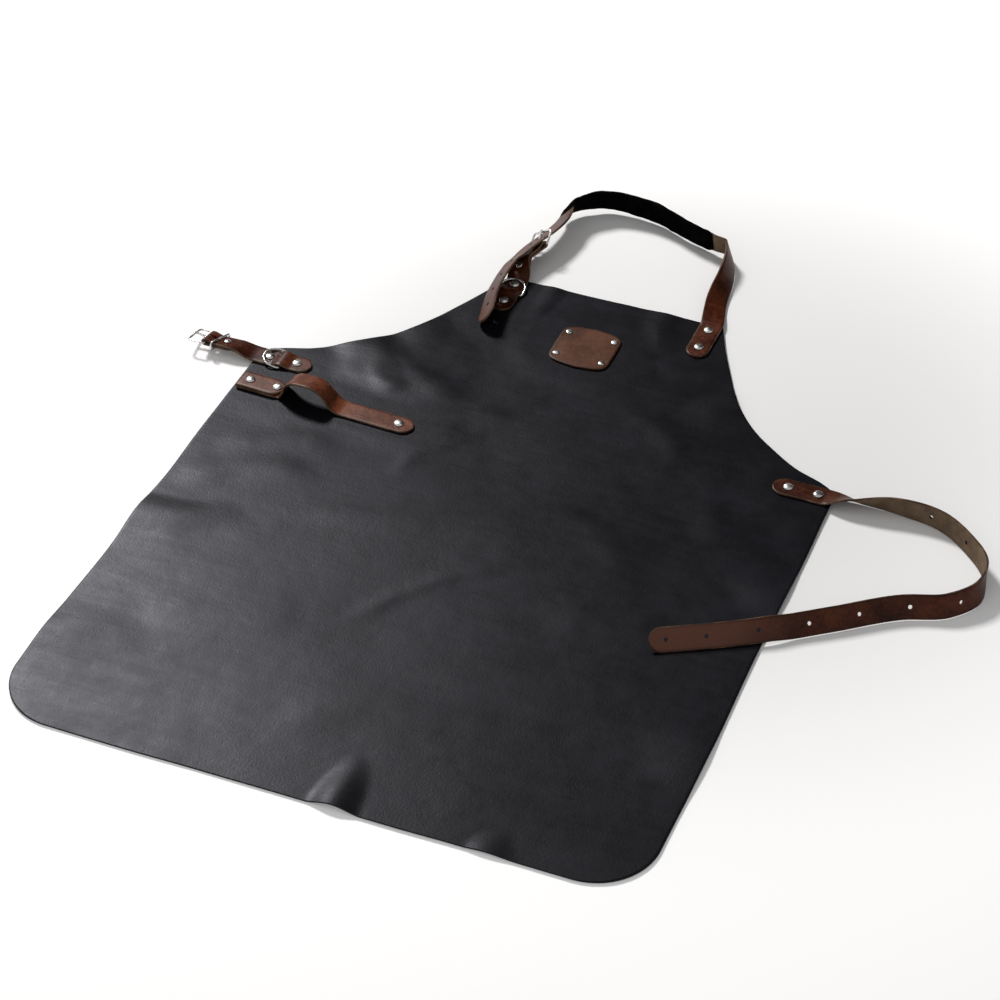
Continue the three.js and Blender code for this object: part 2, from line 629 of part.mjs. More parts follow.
// Middle line of a folded buckle strap in its own plane: run along the strap and height over its seat.
// The strap rises over the bar of its buckle and folds back beneath itself
function foldedProfile(barRun, foldBack) {
  const layer = STRAP_THICKNESS / 2;
  const settled = layer + STRAP_THICKNESS + CLEAR;
  const top = BAR_HEIGHT + FOLD_RADIUS;
  const riseStart = Math.max(barRun - foldBack - FOLD_CLIMB, RIVET_FAR + CAP_RADIUS);
  const riseEnd = barRun - foldBack - 2;
  const line = stepsAlong(riseStart, 11, true, false).filter((run) => Math.abs(run - RING_BAR) > HUMP_HALF)
    .map((run) => [run, layer]);
  for (let i = 0; i <= HUMP_STEPS; i++) {
    const off = HUMP_HALF * ((2 * i) / HUMP_STEPS - 1);
    line.push([RING_BAR + off, layer + (HUMP_RISE * (1 + Math.cos((Math.PI * off) / HUMP_HALF))) / 2]);
  }
  line.sort((a, b) => a[0] - b[0]);
  const climb = Math.round((barRun - riseStart) / 5);
  for (let i = 0; i <= climb; i++) {
    const run = riseStart + ((barRun - riseStart) * i) / climb;
    const lift = THREE.MathUtils.smoothstep(run, riseStart, riseEnd);
    const ease = 1 - THREE.MathUtils.smoothstep(barRun - run, 0, FOLD_EASE);
    line.push([run, layer + (settled - layer) * lift + (top - settled) * ease]);
  }
  for (let i = 1; i <= FOLD_STEPS; i++) {
    const angle = (i / FOLD_STEPS) * Math.PI;
    line.push([barRun + FOLD_RADIUS * Math.sin(angle), BAR_HEIGHT + FOLD_RADIUS * Math.cos(angle)]);
  }
  for (const run of stepsAlong(foldBack, 8, false, true).slice(1)) line.push([barRun - run, layer]);
  return line;
}

// Half width along the profile, rounded at both ends of the strap
function foldedHalves(profile) {
  const runs = [0];
  for (let i = 1; i < profile.length; i++) {
    runs.push(runs[i - 1] + Math.hypot(profile[i][0] - profile[i - 1][0], profile[i][1] - profile[i - 1][1]));
  }
  const total = runs[runs.length - 1];
  return runs.map((run) => endHalf(Math.min(run, total - run)));
}

// Frame at a run along a buckle strap: flat on its tab, then eased into the buckle's own plane
function buckleStrapFrames(tab, buckle, barRun, straight) {
  const easeStart = RIVET_FAR + CAP_RADIUS;
  const easeEnd = barRun - straight;
  const start = moved(tab, easeStart, 0, 0);
  const end = moved(buckle, easeEnd - barRun, 0, -BAR_HEIGHT);
  const reach = end.origin.distanceTo(start.origin);
  return (run) => {
    if (run <= easeStart) return moved(tab, run, 0, 0);
    if (run >= easeEnd) return moved(buckle, run - barRun, 0, -BAR_HEIGHT);
    const t = (run - easeStart) / (easeEnd - easeStart);
    const origin = new THREE.CubicBezierCurve3(
      start.origin,
      start.origin.clone().addScaledVector(tab.ahead, 0.42 * reach),
      end.origin.clone().addScaledVector(buckle.ahead, -reach / 3),
      end.origin,
    );
    const ease = THREE.MathUtils.smoothstep(t, TWIST_START, 1);
    const ahead = origin.getTangent(t);
    const across = tab.across.clone().lerp(buckle.across, ease);
    across.addScaledVector(ahead, -across.dot(ahead)).normalize();
    const face = new THREE.Vector3().crossVectors(across, ahead);
    return { origin: origin.getPoint(t), ahead, across, face };
  };
}

// Buckle strap with its tab rivets, ring and fold, cut for the rivets and the tongue
function addBuckleStrap(side, tab, buckle, barRun, fold) {
  const frameAt = buckleStrapFrames(tab, buckle, barRun, fold.straight);
  const profile = foldedProfile(barRun, fold.back);
  const halves = foldedHalves(profile);
  const centres = profile.map(([run, height]) => moved(frameAt(run), 0, 0, height).origin);
  const stations = profile.map(([run], i) => {
    const { across } = frameAt(run);
    const next = centres[Math.min(i + 1, centres.length - 1)];
    const along = next.clone().sub(centres[Math.max(i - 1, 0)]).normalize();
    const face = new THREE.Vector3().crossVectors(across, along).normalize();
    return station(centres[i], across, halves[i], face);
  });
  const foldRivet = frameAt(barRun - fold.rivet);
  const slot = new THREE.BoxGeometry(2 * SLOT_HALF, TONGUE_WIDTH + 3 * CLEAR, 4 * BAR_HEIGHT);
  placeIn(slot, buckle);
  const cutters = [
    drill(frameAt(RIVET_NEAR).origin, UP, SHANK_HOLE, 4 * STRAP_THICKNESS),
    drill(frameAt(RIVET_FAR).origin, UP, SHANK_HOLE, 4 * STRAP_THICKNESS),
    drill(foldRivet.origin, foldRivet.face, SHANK_HOLE, 6 * STRAP_THICKNESS),
    slot,
  ];
  addMesh(`${side}_buckle_strap`, cutAll(strapGeometry(stations), cutters), BROWN_LEATHER);
  const stack = SHEET_THICKNESS + CLEAR + STRAP_THICKNESS;
  [RIVET_NEAR, RIVET_FAR].forEach((run, i) => {
    const base = moved(tab, run, 0, -CLEAR - SHEET_THICKNESS).origin;
    addMesh(`${side}_buckle_rivet_${i + 1}`, rivetGeometry(base, UP, stack, CAP_RADIUS, CAP_RISE), STEEL);
  });
  const small = rivetGeometry(foldRivet.origin, foldRivet.face, TWO_LAYERS, SMALL_CAP_RADIUS, SMALL_CAP_RISE);
  addMesh(`${side}_fold_rivet`, small, STEEL);
  addRing(`${side}_d_ring`, moved(tab, RING_BAR, 0, WIRE_RADIUS));
}

// Turns geometry from its own axes into a frame: X ahead, Y across, Z face
function placeIn(geometry, frame) {
  const basis = new THREE.Matrix4().makeBasis(frame.ahead, frame.across.clone().negate(), frame.face);
  geometry.applyMatrix4(basis);
  geometry.translate(frame.origin.x, frame.origin.y, frame.origin.z);
  return geometry;
}

function addRing(name, frame) {
  const straight = RING_REACH - RING_HALF;
  const outline = [[0, -RING_HALF + 3], [0, 0], [0, RING_HALF - 3], [0.9, RING_HALF - 0.9], [3, RING_HALF]];
  for (let i = 0; i <= 10; i++) {
    const angle = (i / 10) * Math.PI;
    outline.push([straight + RING_HALF * Math.sin(angle), RING_HALF * Math.cos(angle)]);
  }
  outline.push([3, -RING_HALF], [0.9, -RING_HALF + 0.9]);
  addMesh(name, wireLoop(outline, pitched(frame, RING_LIFT), WIRE_RADIUS), STEEL);
}

function addBuckle(side, buckle, pitch, tonguePitch) {
  const outline = roundedOutline([
    [0, -BUCKLE_HALF, 3, 2],
    [0, BUCKLE_HALF, 3, 2],
    [BUCKLE_REACH, BUCKLE_HALF, 4, 3],
    [BUCKLE_REACH, -BUCKLE_HALF, 4, 3],
  ]);
  addMesh(`${side}_buckle_frame`, wireLoop(outline, pitched(buckle, pitch), WIRE_RADIUS), STEEL);
  const eye = new THREE.Shape();
  eye.absarc(0, 0, WIRE_RADIUS + 0.25 + 1.2, 0, 2 * Math.PI);
  const bore = new THREE.Path();
  bore.absarc(0, 0, WIRE_RADIUS + 0.25, 0, 2 * Math.PI);
  eye.holes.push(bore);
  const flat = { depth: TONGUE_WIDTH, bevelEnabled: false, curveSegments: 9 };
  const ring = new THREE.ExtrudeGeometry(eye, flat);
  const length = BUCKLE_REACH + WIRE_RADIUS + 1.5;
  const shaft = new THREE.Shape([
    new THREE.Vector2(WIRE_RADIUS + 0.7, -TONGUE_DEPTH / 2),
    new THREE.Vector2(length, -TONGUE_DEPTH / 2),
    new THREE.Vector2(length, 0),
    new THREE.Vector2(length - 1.5, TONGUE_DEPTH / 2),
    new THREE.Vector2(WIRE_RADIUS + 0.7, TONGUE_DEPTH / 2),
  ]);
  const bar = new THREE.ExtrudeGeometry(shaft, flat);
  const tongue = toGeometry(toSolid(ring).add(toSolid(bar)));
  tongue.rotateX(Math.PI / 2);
  tongue.translate(0, TONGUE_WIDTH / 2, 0);
  placeIn(tongue, pitched(buckle, tonguePitch));
  addMesh(`${side}_buckle_tongue`, tongue, STEEL);
}

// Pitch of a tongue that rests on the far bar of a frame with its own pitch
function restingTongue(pitch) {
  const turn = THREE.MathUtils.degToRad(pitch);
  const above = WIRE_RADIUS + CLEAR + TONGUE_DEPTH / 2;
  return THREE.MathUtils.radToDeg(turn + Math.asin(above / BUCKLE_REACH));
}

// Waist buckle, open, rolled about its strap so that its near side stands up
const waistTab = {
  origin: new THREE.Vector3(-WAIST_RIVET_X + RIVET_FAR, WAIST_TAB_Y, STRAP_SEAT),
  ahead: new THREE.Vector3(-1, 0, 0),
  across: new THREE.Vector3(0, 1, 0),
  face: UP.clone(),
};
const WAIST_FRAME_PITCH = 0;
const waistBarRun = RIVET_FAR + WAIST_BUCKLE_OUT;
const waistBuckle = rolled(moved(waistTab, waistBarRun, 0, BAR_HEIGHT + WAIST_ROLL_LIFT), WAIST_ROLL);
addBuckleStrap("waist", waistTab, waistBuckle, waistBarRun, WAIST_FOLD);
addBuckle("waist", waistBuckle, WAIST_FRAME_PITCH, restingTongue(WAIST_FRAME_PITCH));

// Wire keeper round both layers of the waist fold
const keeperHalf = HALF_STRAP / Math.cos(THREE.MathUtils.degToRad(KEEPER_YAW)) + CLEAR + KEEPER_WIRE + 0.6;
const keeperRise = (TWO_LAYERS + KEEPER_WIRE) / 2 + 1.6 * CLEAR;
const keeperYaw = THREE.MathUtils.degToRad(KEEPER_YAW);
const keeperMiddle = moved(waistBuckle, -KEEPER_BACK, 0, TWO_LAYERS / 2 - BAR_HEIGHT);
const keeperAcross = waistBuckle.across.clone().applyAxisAngle(waistBuckle.face, -keeperYaw);
const keeperFrame = {
  origin: keeperMiddle.origin,
  ahead: waistBuckle.face,
  across: keeperAcross,
  face: new THREE.Vector3().crossVectors(keeperAcross, waistBuckle.face),
};
const keeperOutline = roundedOutline([
  [-keeperRise, -keeperHalf, 1.6, 2],
  [-keeperRise, keeperHalf, 1.6, 2],
  [keeperRise, keeperHalf, 1.6, 2],
  [keeperRise, -keeperHalf, 1.6, 2],
]);
addMesh("waist_keeper", wireLoop(keeperOutline, keeperFrame, KEEPER_WIRE / 2), STEEL);

// Neck buckle, fastened on the neck strap
const NECK_BUCKLE_RUN = 497;
const NECK_FRAME_SLACK = 2;
const neckAt = neckStrap.at(NECK_BUCKLE_RUN);
const neckDrop = STRAP_THICKNESS / 2 + CLEAR + STRAP_THICKNESS + CLEAR + WIRE_RADIUS;
const neckBuckle = {
  origin: neckAt.centre.clone().addScaledVector(neckAt.face, -neckDrop),
  ahead: new THREE.Vector3().crossVectors(neckAt.face, neckAt.across).normalize(),
  across: neckAt.across,
  face: neckAt.face,
};
const neckTab = {
  origin: new THREE.Vector3(-NECK_X, NECK_RIVET_Y - RIVET_FAR, STRAP_SEAT),
  ahead: new THREE.Vector3(0, 1, 0),
  across: new THREE.Vector3(1, 0, 0),
  face: UP.clone(),
};
const neckBarRun = RIVET_FAR + NECK_BUCKLE_OUT;
const neckFramePitch = THREE.MathUtils.radToDeg(
  Math.asin((neckDrop + STRAP_THICKNESS / 2 + CLEAR + WIRE_RADIUS + NECK_FRAME_SLACK) / BUCKLE_REACH));
addBuckleStrap("neck", neckTab, neckBuckle, neckBarRun, NECK_FOLD);
addBuckle("neck", neckBuckle, neckFramePitch, restingTongue(neckFramePitch));

// Long straps, cut for their rivets, their holes and the neck buckle's tongue
function runHoles(strap, runs) {
  return runs.map((run) => {
    const { centre, face } = strap.at(run);
    return drill(centre, face, HOLE_RADIUS, 4 * STRAP_THICKNESS, 6);
  });
}

function addLongStrap(name, strap, runs, extra) {
  const tabs = [TAB_END, RIVET_FAR].map((run) => drill(strap.at(run).centre, UP, SHANK_HOLE, 4 * STRAP_THICKNESS));
  const cutters = [...tabs, ...runHoles(strap, runs), ...extra];
  addMesh(name, cutAll(longStrapGeometry(strap, STRAP_STEP), cutters), BROWN_LEATHER);
  const stack = SHEET_THICKNESS + CLEAR + STRAP_THICKNESS;
  [TAB_END, RIVET_FAR].forEach((run, i) => {
    const { centre } = strap.at(run);
    const base = new THREE.Vector3(centre.x, centre.y, SEAT_LIFT);
    addMesh(`${name}_rivet_${i + 1}`, rivetGeometry(base, UP, stack, CAP_RADIUS, CAP_RISE), STEEL);
  });
}

const STRAP_STEP = 15;
const fromTip = (strap, start, pitch, count) =>
  Array.from({ length: count }, (_, i) => strap.length - start - i * pitch);
const waistHoles = fromTip(waistStrap, WAIST_HOLE_START, WAIST_HOLE_PITCH, WAIST_HOLE_COUNT);
addLongStrap("waist_strap", waistStrap, [waistStrap.length - WAIST_END_HOLE, ...waistHoles], []);

const tongueCut = new THREE.BoxGeometry(2 * BUCKLE_REACH, TONGUE_WIDTH + 2 * CLEAR, TONGUE_DEPTH + 2 * CLEAR);
placeIn(tongueCut, pitched(neckBuckle, restingTongue(neckFramePitch)));
const neckHoles = fromTip(neckStrap, NECK_HOLE_START, NECK_HOLE_PITCH, NECK_HOLE_COUNT);
addLongStrap("neck_strap", neckStrap, neckHoles, [tongueCut]);

// Soft sleeve on the neck strap, open at both ends
const PAD_STATIONS = 17;
function sleeve(halfWidth, halfDepth, bevel, overrun) {
  const points = [];
  const faces = [];
  const corners = [
    [-halfWidth, -halfDepth + bevel], [-halfWidth + bevel, -halfDepth],
    [halfWidth - bevel, -halfDepth], [halfWidth, -halfDepth + bevel],
    [halfWidth, halfDepth - bevel], [halfWidth - bevel, halfDepth],
    [-halfWidth + bevel, halfDepth], [-halfWidth, halfDepth - bevel],
  ];
  for (let i = 0; i < PAD_STATIONS; i++) {
    const share = i / (PAD_STATIONS - 1);
    const run = PAD_START + PAD_LENGTH * share + overrun * (2 * share - 1);
    const { centre, across, face } = neckStrap.at(run);
    for (const [w, n] of corners) points.push(centre.clone().addScaledVector(across, w).addScaledVector(face, n));
  }
  for (let i = 0; i < PAD_STATIONS - 1; i++) {
    for (let k = 0; k < 8; k++) {
      const a = 8 * i + k;
      const b = 8 * i + ((k + 1) % 8);
      faces.push([a, b, b + 8], [a, b + 8, a + 8]);
    }
  }
  const end = 8 * (PAD_STATIONS - 1);
  for (let k = 1; k < 7; k++) {
    faces.push([0, k + 1, k], [end, end + k, end + k + 1]);
  }
  return faceOut(closedGeometry(points, faces));
}
const PAD_SLACK = 1.4;
const padOuter = sleeve(PAD_WIDTH / 2, PAD_DEPTH / 2, 2.4, 0);
const padInner = sleeve(HALF_STRAP + PAD_SLACK, STRAP_THICKNESS / 2 + PAD_SLACK, 0.4, 2);
addMesh("neck_pad", cutAll(padOuter, [padInner]), PAD_CLOTH);

// Loop for a towel or a tool: doubled at its left end, arched, then flat to its right end
const ARCH = [
  { run: -0.02, rise: 0.0 },
  { run: 0.06, rise: 0.3 },
  { run: 0.12, rise: 0.64 },
  { run: 0.26, rise: 0.93 },
  { run: 0.46, rise: 1.0 },
  { run: 0.68, rise: 0.97 },
  { run: 0.82, rise: 0.8 },
  { run: 0.93, rise: 0.5 },
  { run: 1.03, rise: 0.2 },
  { run: 1.16, rise: 0.03 },
  { run: 1.3, rise: 0.0 },
];
const ARCH_STEPS = 20;
const ARCH_START = 8;
const LOOP_FOLD_END = 8;
function loopProfile() {
  const layer = STRAP_THICKNESS / 2;
  const turn = (STRAP_THICKNESS + CLEAR) / 2;
  const endRun = RIVET_PITCH + LOOP_FOLD_END;
  const line = stepsAlong(endRun + LOOP_END, 12, true, false).map((run) => [endRun - run, layer + 2 * turn]);
  for (let i = 1; i < 6; i++) {
    const angle = (i / 6) * Math.PI;
    line.push([-LOOP_END - turn * Math.sin(angle), layer + turn + turn * Math.cos(angle)]);
  }
  for (let i = 0; i <= 3; i++) line.push([-LOOP_END + ((RIVET_PITCH + LOOP_END) * i) / 3, layer]);
  const arch = smoothRows(ARCH.map(({ run, rise }) => [run * LOOP_REACH, rise * LOOP_HEIGHT]));
  let knot = 0;
  for (let i = 0; i < ARCH.length - 1; i++) {
    knot += Math.hypot((ARCH[i + 1].run - ARCH[i].run) * LOOP_REACH, (ARCH[i + 1].rise - ARCH[i].rise) * LOOP_HEIGHT);
  }
  const archStart = RIVET_PITCH + ARCH_START;
  for (let i = 0; i <= ARCH_STEPS; i++) {
    const [run, rise] = arch((knot * i) / ARCH_STEPS);
    line.push([archStart + run, layer + rise]);
  }
  const flatStart = archStart + ARCH[ARCH.length - 1].run * LOOP_REACH;
  const flatEnd = archStart + LOOP_REACH + LOOP_TAIL;
  for (const run of stepsAlong(flatEnd - flatStart, 20, false, true).slice(1)) line.push([flatStart + run, layer]);
  return line;
}
const loopFrame = {
  origin: new THREE.Vector3(LOOP_X, LOOP_Y, STRAP_SEAT),
  ahead: new THREE.Vector3(1, 0, 0).applyAxisAngle(UP, THREE.MathUtils.degToRad(LOOP_TURN)),
  across: new THREE.Vector3(0, -1, 0).applyAxisAngle(UP, THREE.MathUtils.degToRad(LOOP_TURN)),
  face: UP.clone(),
};
const loopLine = loopProfile();
const loopHalves = foldedHalves(loopLine);
const loopCentres = loopLine.map(([run, height]) => moved(loopFrame, run, 0, height).origin);
const loopStations = loopCentres.map((centre, i) => {
  const next = loopCentres[Math.min(i + 1, loopCentres.length - 1)];
  const along = next.clone().sub(loopCentres[Math.max(i - 1, 0)]).normalize();
  const face = new THREE.Vector3().crossVectors(loopFrame.across, along).normalize();
  return station(centre, loopFrame.across, loopHalves[i], face);
});
const loopEnd = RIVET_PITCH + ARCH_START + LOOP_REACH + LOOP_TAIL - TAB_END;
const loopRivets = [
  { run: 0, layers: TWO_LAYERS },
  { run: RIVET_PITCH, layers: TWO_LAYERS },
  { run: loopEnd, layers: STRAP_THICKNESS },
];
const loopCutters = loopRivets.map(({ run }) =>
  drill(moved(loopFrame, run, 0, 0).origin, UP, SHANK_HOLE, 8 * STRAP_THICKNESS));
addMesh("tool_loop", cutAll(strapGeometry(loopStations), loopCutters), BROWN_LEATHER);
loopRivets.forEach(({ run, layers }, i) => {
  const base = moved(loopFrame, run, 0, -CLEAR - SHEET_THICKNESS).origin;
  const stack = SHEET_THICKNESS + CLEAR + layers;
  addMesh(`tool_rivet_${i + 1}`, rivetGeometry(base, UP, stack, CAP_RADIUS, CAP_RISE), STEEL);
});

// Patch on the bib: crowned top and bottom, tapered sides, a small rivet near each corner
const patchRivets = [[-1, -1], [1, -1], [1, 1], [-1, 1]].map(([sx, sy]) =>
  new THREE.Vector3((sx * PATCH_RIVET_ACROSS) / 2, PATCH_Y + (sy * PATCH_RIVET_UP) / 2, SEAT_LIFT));
const halfPatch = PATCH_WIDTH / 2;
const halfSide = PATCH_HEIGHT / 2 - PATCH_CROWN;
const patchShape = new THREE.Shape();
patchShape.moveTo(-halfPatch + PATCH_TAPER, -halfSide);
patchShape.quadraticCurveTo(0, -halfSide - 2 * PATCH_CROWN, halfPatch - PATCH_TAPER, -halfSide);
patchShape.quadraticCurveTo(halfPatch + 1, -halfSide + 2, halfPatch, -halfSide + 8);
patchShape.lineTo(halfPatch, halfSide - 8);
patchShape.quadraticCurveTo(halfPatch + 1, halfSide - 2, halfPatch - PATCH_TAPER, halfSide);
patchShape.quadraticCurveTo(0, halfSide + 2 * PATCH_CROWN, -halfPatch + PATCH_TAPER, halfSide);
patchShape.quadraticCurveTo(-halfPatch - 1, halfSide - 2, -halfPatch, halfSide - 8);
patchShape.lineTo(-halfPatch, -halfSide + 8);
patchShape.quadraticCurveTo(-halfPatch - 1, -halfSide + 2, -halfPatch + PATCH_TAPER, -halfSide);
const patch = new THREE.ExtrudeGeometry(patchShape, { depth: PATCH_THICKNESS, bevelEnabled: false, curveSegments: 6 });
patch.translate(0, PATCH_Y, STRAP_SEAT);
const patchCutters = patchRivets.map((point) => drill(point, UP, SHANK_HOLE, 8 * STRAP_THICKNESS));
addMesh("patch", cutAll(patch, patchCutters), BROWN_LEATHER);
patchRivets.forEach((point, i) => {
  const stack = SHEET_THICKNESS + CLEAR + PATCH_THICKNESS;
  const rivet = rivetGeometry(point, UP, stack, SMALL_CAP_RADIUS, SMALL_CAP_RISE);
  addMesh(`patch_rivet_${i + 1}`, rivet, STEEL);
});

// Sheet, cut for every rivet that goes through it
const sheetHoles = [
  ...[TAB_END, RIVET_FAR].map((run) => waistStrap.at(run).centre),
  ...[TAB_END, RIVET_FAR].map((run) => neckStrap.at(run).centre),
  ...[RIVET_NEAR, RIVET_FAR].map((run) => moved(waistTab, run, 0, 0).origin),
  ...[RIVET_NEAR, RIVET_FAR].map((run) => moved(neckTab, run, 0, 0).origin),
  ...loopRivets.map(({ run }) => moved(loopFrame, run, 0, 0).origin),
  ...patchRivets,
];
const sheetCutters = sheetHoles.map((point) => drill(point, UP, SHANK_HOLE, 8 * STRAP_THICKNESS));
addMesh("apron_body", cutAll(apronBody(), sheetCutters), BLACK_LEATHER);

export default group;
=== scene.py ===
import math

import bmesh
import bpy
import numpy as np
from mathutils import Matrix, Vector


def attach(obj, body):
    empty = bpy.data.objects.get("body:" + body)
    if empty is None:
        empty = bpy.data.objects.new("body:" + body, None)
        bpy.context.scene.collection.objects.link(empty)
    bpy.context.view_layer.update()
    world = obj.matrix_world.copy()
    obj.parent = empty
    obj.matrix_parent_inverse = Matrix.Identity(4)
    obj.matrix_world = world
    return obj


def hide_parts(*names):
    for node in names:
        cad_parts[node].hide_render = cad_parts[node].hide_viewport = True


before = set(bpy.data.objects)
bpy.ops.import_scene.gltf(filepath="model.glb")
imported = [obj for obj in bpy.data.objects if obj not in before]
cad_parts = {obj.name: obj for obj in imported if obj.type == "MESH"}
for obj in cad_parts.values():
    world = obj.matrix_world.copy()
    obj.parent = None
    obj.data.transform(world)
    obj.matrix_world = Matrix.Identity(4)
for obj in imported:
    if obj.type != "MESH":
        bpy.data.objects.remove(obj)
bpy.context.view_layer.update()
scene = bpy.context.scene
MM = 0.001
CUT_SIDES = 18


# Small tools
def vec(*values):
    return np.array(values, float)


def unit(v):
    return v / np.maximum(np.linalg.norm(v, axis=-1, keepdims=True), 1e-12)


UP = vec(0, 0, 1)


def smooth(x, a, b):
    t = np.clip((np.asarray(x, float) - a) / (b - a), 0, 1)
    return t * t * (3 - 2 * t)


LATTICE = np.random.default_rng(11).uniform(-1, 1, (64, 64))


def wave(x, y, size, shift=0):
    """Smooth random height from -1 to 1, with features of the given size in mm."""
    u, v = np.asarray(x, float) / size + 17.3 * shift, np.asarray(y, float) / size + 9.1 * shift
    i, j = np.floor(u).astype(int), np.floor(v).astype(int)
    fu, fv = u - i, v - j
    fu, fv = fu * fu * fu * (fu * (6 * fu - 15) + 10), fv * fv * fv * (fv * (6 * fv - 15) + 10)
    at = lambda a, b: LATTICE[(i + a) % 64, (j + b) % 64]
    return (at(0, 0) * (1 - fu) + at(1, 0) * fu) * (1 - fv) + (at(0, 1) * (1 - fu) + at(1, 1) * fu) * fv


def smooth_rows(rows):
    """The same curve through rows of numbers as the solids use; returns a sampler and its length."""
    rows = np.array(rows, float)
    steps = np.hypot(np.diff(rows[:, 0]), np.diff(rows[:, 1]))
    knots = np.concatenate([[0], np.cumsum(steps)])
    slopes = np.zeros_like(rows)
    for i in range(len(rows)):
        a, b = max(i - 1, 0), min(i + 1, len(rows) - 1)
        slopes[i] = (rows[b] - rows[a]) / (knots[b] - knots[a])
        if a < i < b:
            back = (rows[i] - rows[a]) / (knots[i] - knots[a])
            front = (rows[b] - rows[i]) / (knots[b] - knots[i])
            share = (knots[i] - knots[a]) / (knots[b] - knots[a])
            slopes[i] = front * share + back * (1 - share)

    def at(knot):
        knot = np.asarray(knot, float)
        i = np.clip(np.searchsorted(knots, knot, side="left") - 1, 0, len(rows) - 2)
        span = (knots[i + 1] - knots[i])[..., None]
        t = (knot - knots[i])[..., None] / span
        return ((2 * t**3 - 3 * t**2 + 1) * rows[i] + (t**3 - 2 * t**2 + t) * span * slopes[i]
                + (3 * t**2 - 2 * t**3) * rows[i + 1] + (t**3 - t**2) * span * slopes[i + 1])
    return at, knots[-1]


def make(name, points, faces, materials, body="apron", replaces=(), kinds=None, extra=None,
         smooth_angle=50):
    """A mesh piece from points in mm; extra holds named numbers for each point."""
    mesh = bpy.data.meshes.new(name)
    mesh.from_pydata((np.asarray(points) * MM).tolist(), [], [list(map(int, f)) for f in faces])
    for m in materials:
        mesh.materials.append(m)
    if kinds is not None:
        mesh.polygons.foreach_set("material_index", np.asarray(kinds, np.int32))
    for key, values in (extra or {}).items():
        mesh.attributes.new(key, "FLOAT", "POINT").data.foreach_set("value", np.asarray(values, np.float32))
    mesh.validate()
    mesh.shade_smooth()
    if smooth_angle:
        mesh.set_sharp_from_angle(angle=math.radians(smooth_angle))
    obj = bpy.data.objects.new(name, mesh)
    scene.collection.objects.link(obj)
    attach(obj, body)
    if replaces:
        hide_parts(*replaces)
    return obj


def tube_faces(rings, sides, closed):
    faces = []
    for i in range(rings if closed else rings - 1):
        j = (i + 1) % rings
        for k in range(sides):
            m = (k + 1) % sides
            faces.append((i * sides + k, i * sides + m, j * sides + m, j * sides + k))
    return faces


def cut(obj, cutters):
    """Cuts holes; each cutter has a centre, axis, radius, half length and stretch to each side, in mm."""
    points, faces = [], []
    for centre, axis, radius, half, stretch in cutters:
        axis = unit(np.asarray(axis, float))
        long = np.linalg.norm(stretch)
        side = unit(stretch) if long > 0 else unit(np.cross(axis, vec(0.31, 0.27, 0.91)))
        up = np.cross(axis, side)
        base = len(points)
        turns = (np.arange(CUT_SIDES) + 0.5) / CUT_SIDES * 2 * math.pi
        for h in (-half, half):
            points += [centre + axis * h + radius * (math.cos(a) * side + math.sin(a) * up)
                       + long * side * math.copysign(1, math.cos(a)) for a in turns]
        faces.append([base + k for k in reversed(range(CUT_SIDES))])
        faces.append([base + CUT_SIDES + k for k in range(CUT_SIDES)])
        for k in range(CUT_SIDES):
            after = (k + 1) % CUT_SIDES
            faces.append([base + k, base + after, base + CUT_SIDES + after, base + CUT_SIDES + k])
    mesh = bpy.data.meshes.new("cutter")
    mesh.from_pydata((np.array(points) * MM).tolist(), [], faces)
    cutter = bpy.data.objects.new("cutter", mesh)
    scene.collection.objects.link(cutter)
    modifier = obj.modifiers.new("holes", "BOOLEAN")
    modifier.object, modifier.operation, modifier.solver = cutter, "DIFFERENCE", "EXACT"
    modifier.material_mode = "INDEX"
    bpy.context.view_layer.update()
    done = bpy.data.meshes.new_from_object(obj.evaluated_get(bpy.context.evaluated_depsgraph_get()))
    obj.modifiers.clear()
    obj.data = done
    bpy.data.objects.remove(cutter)


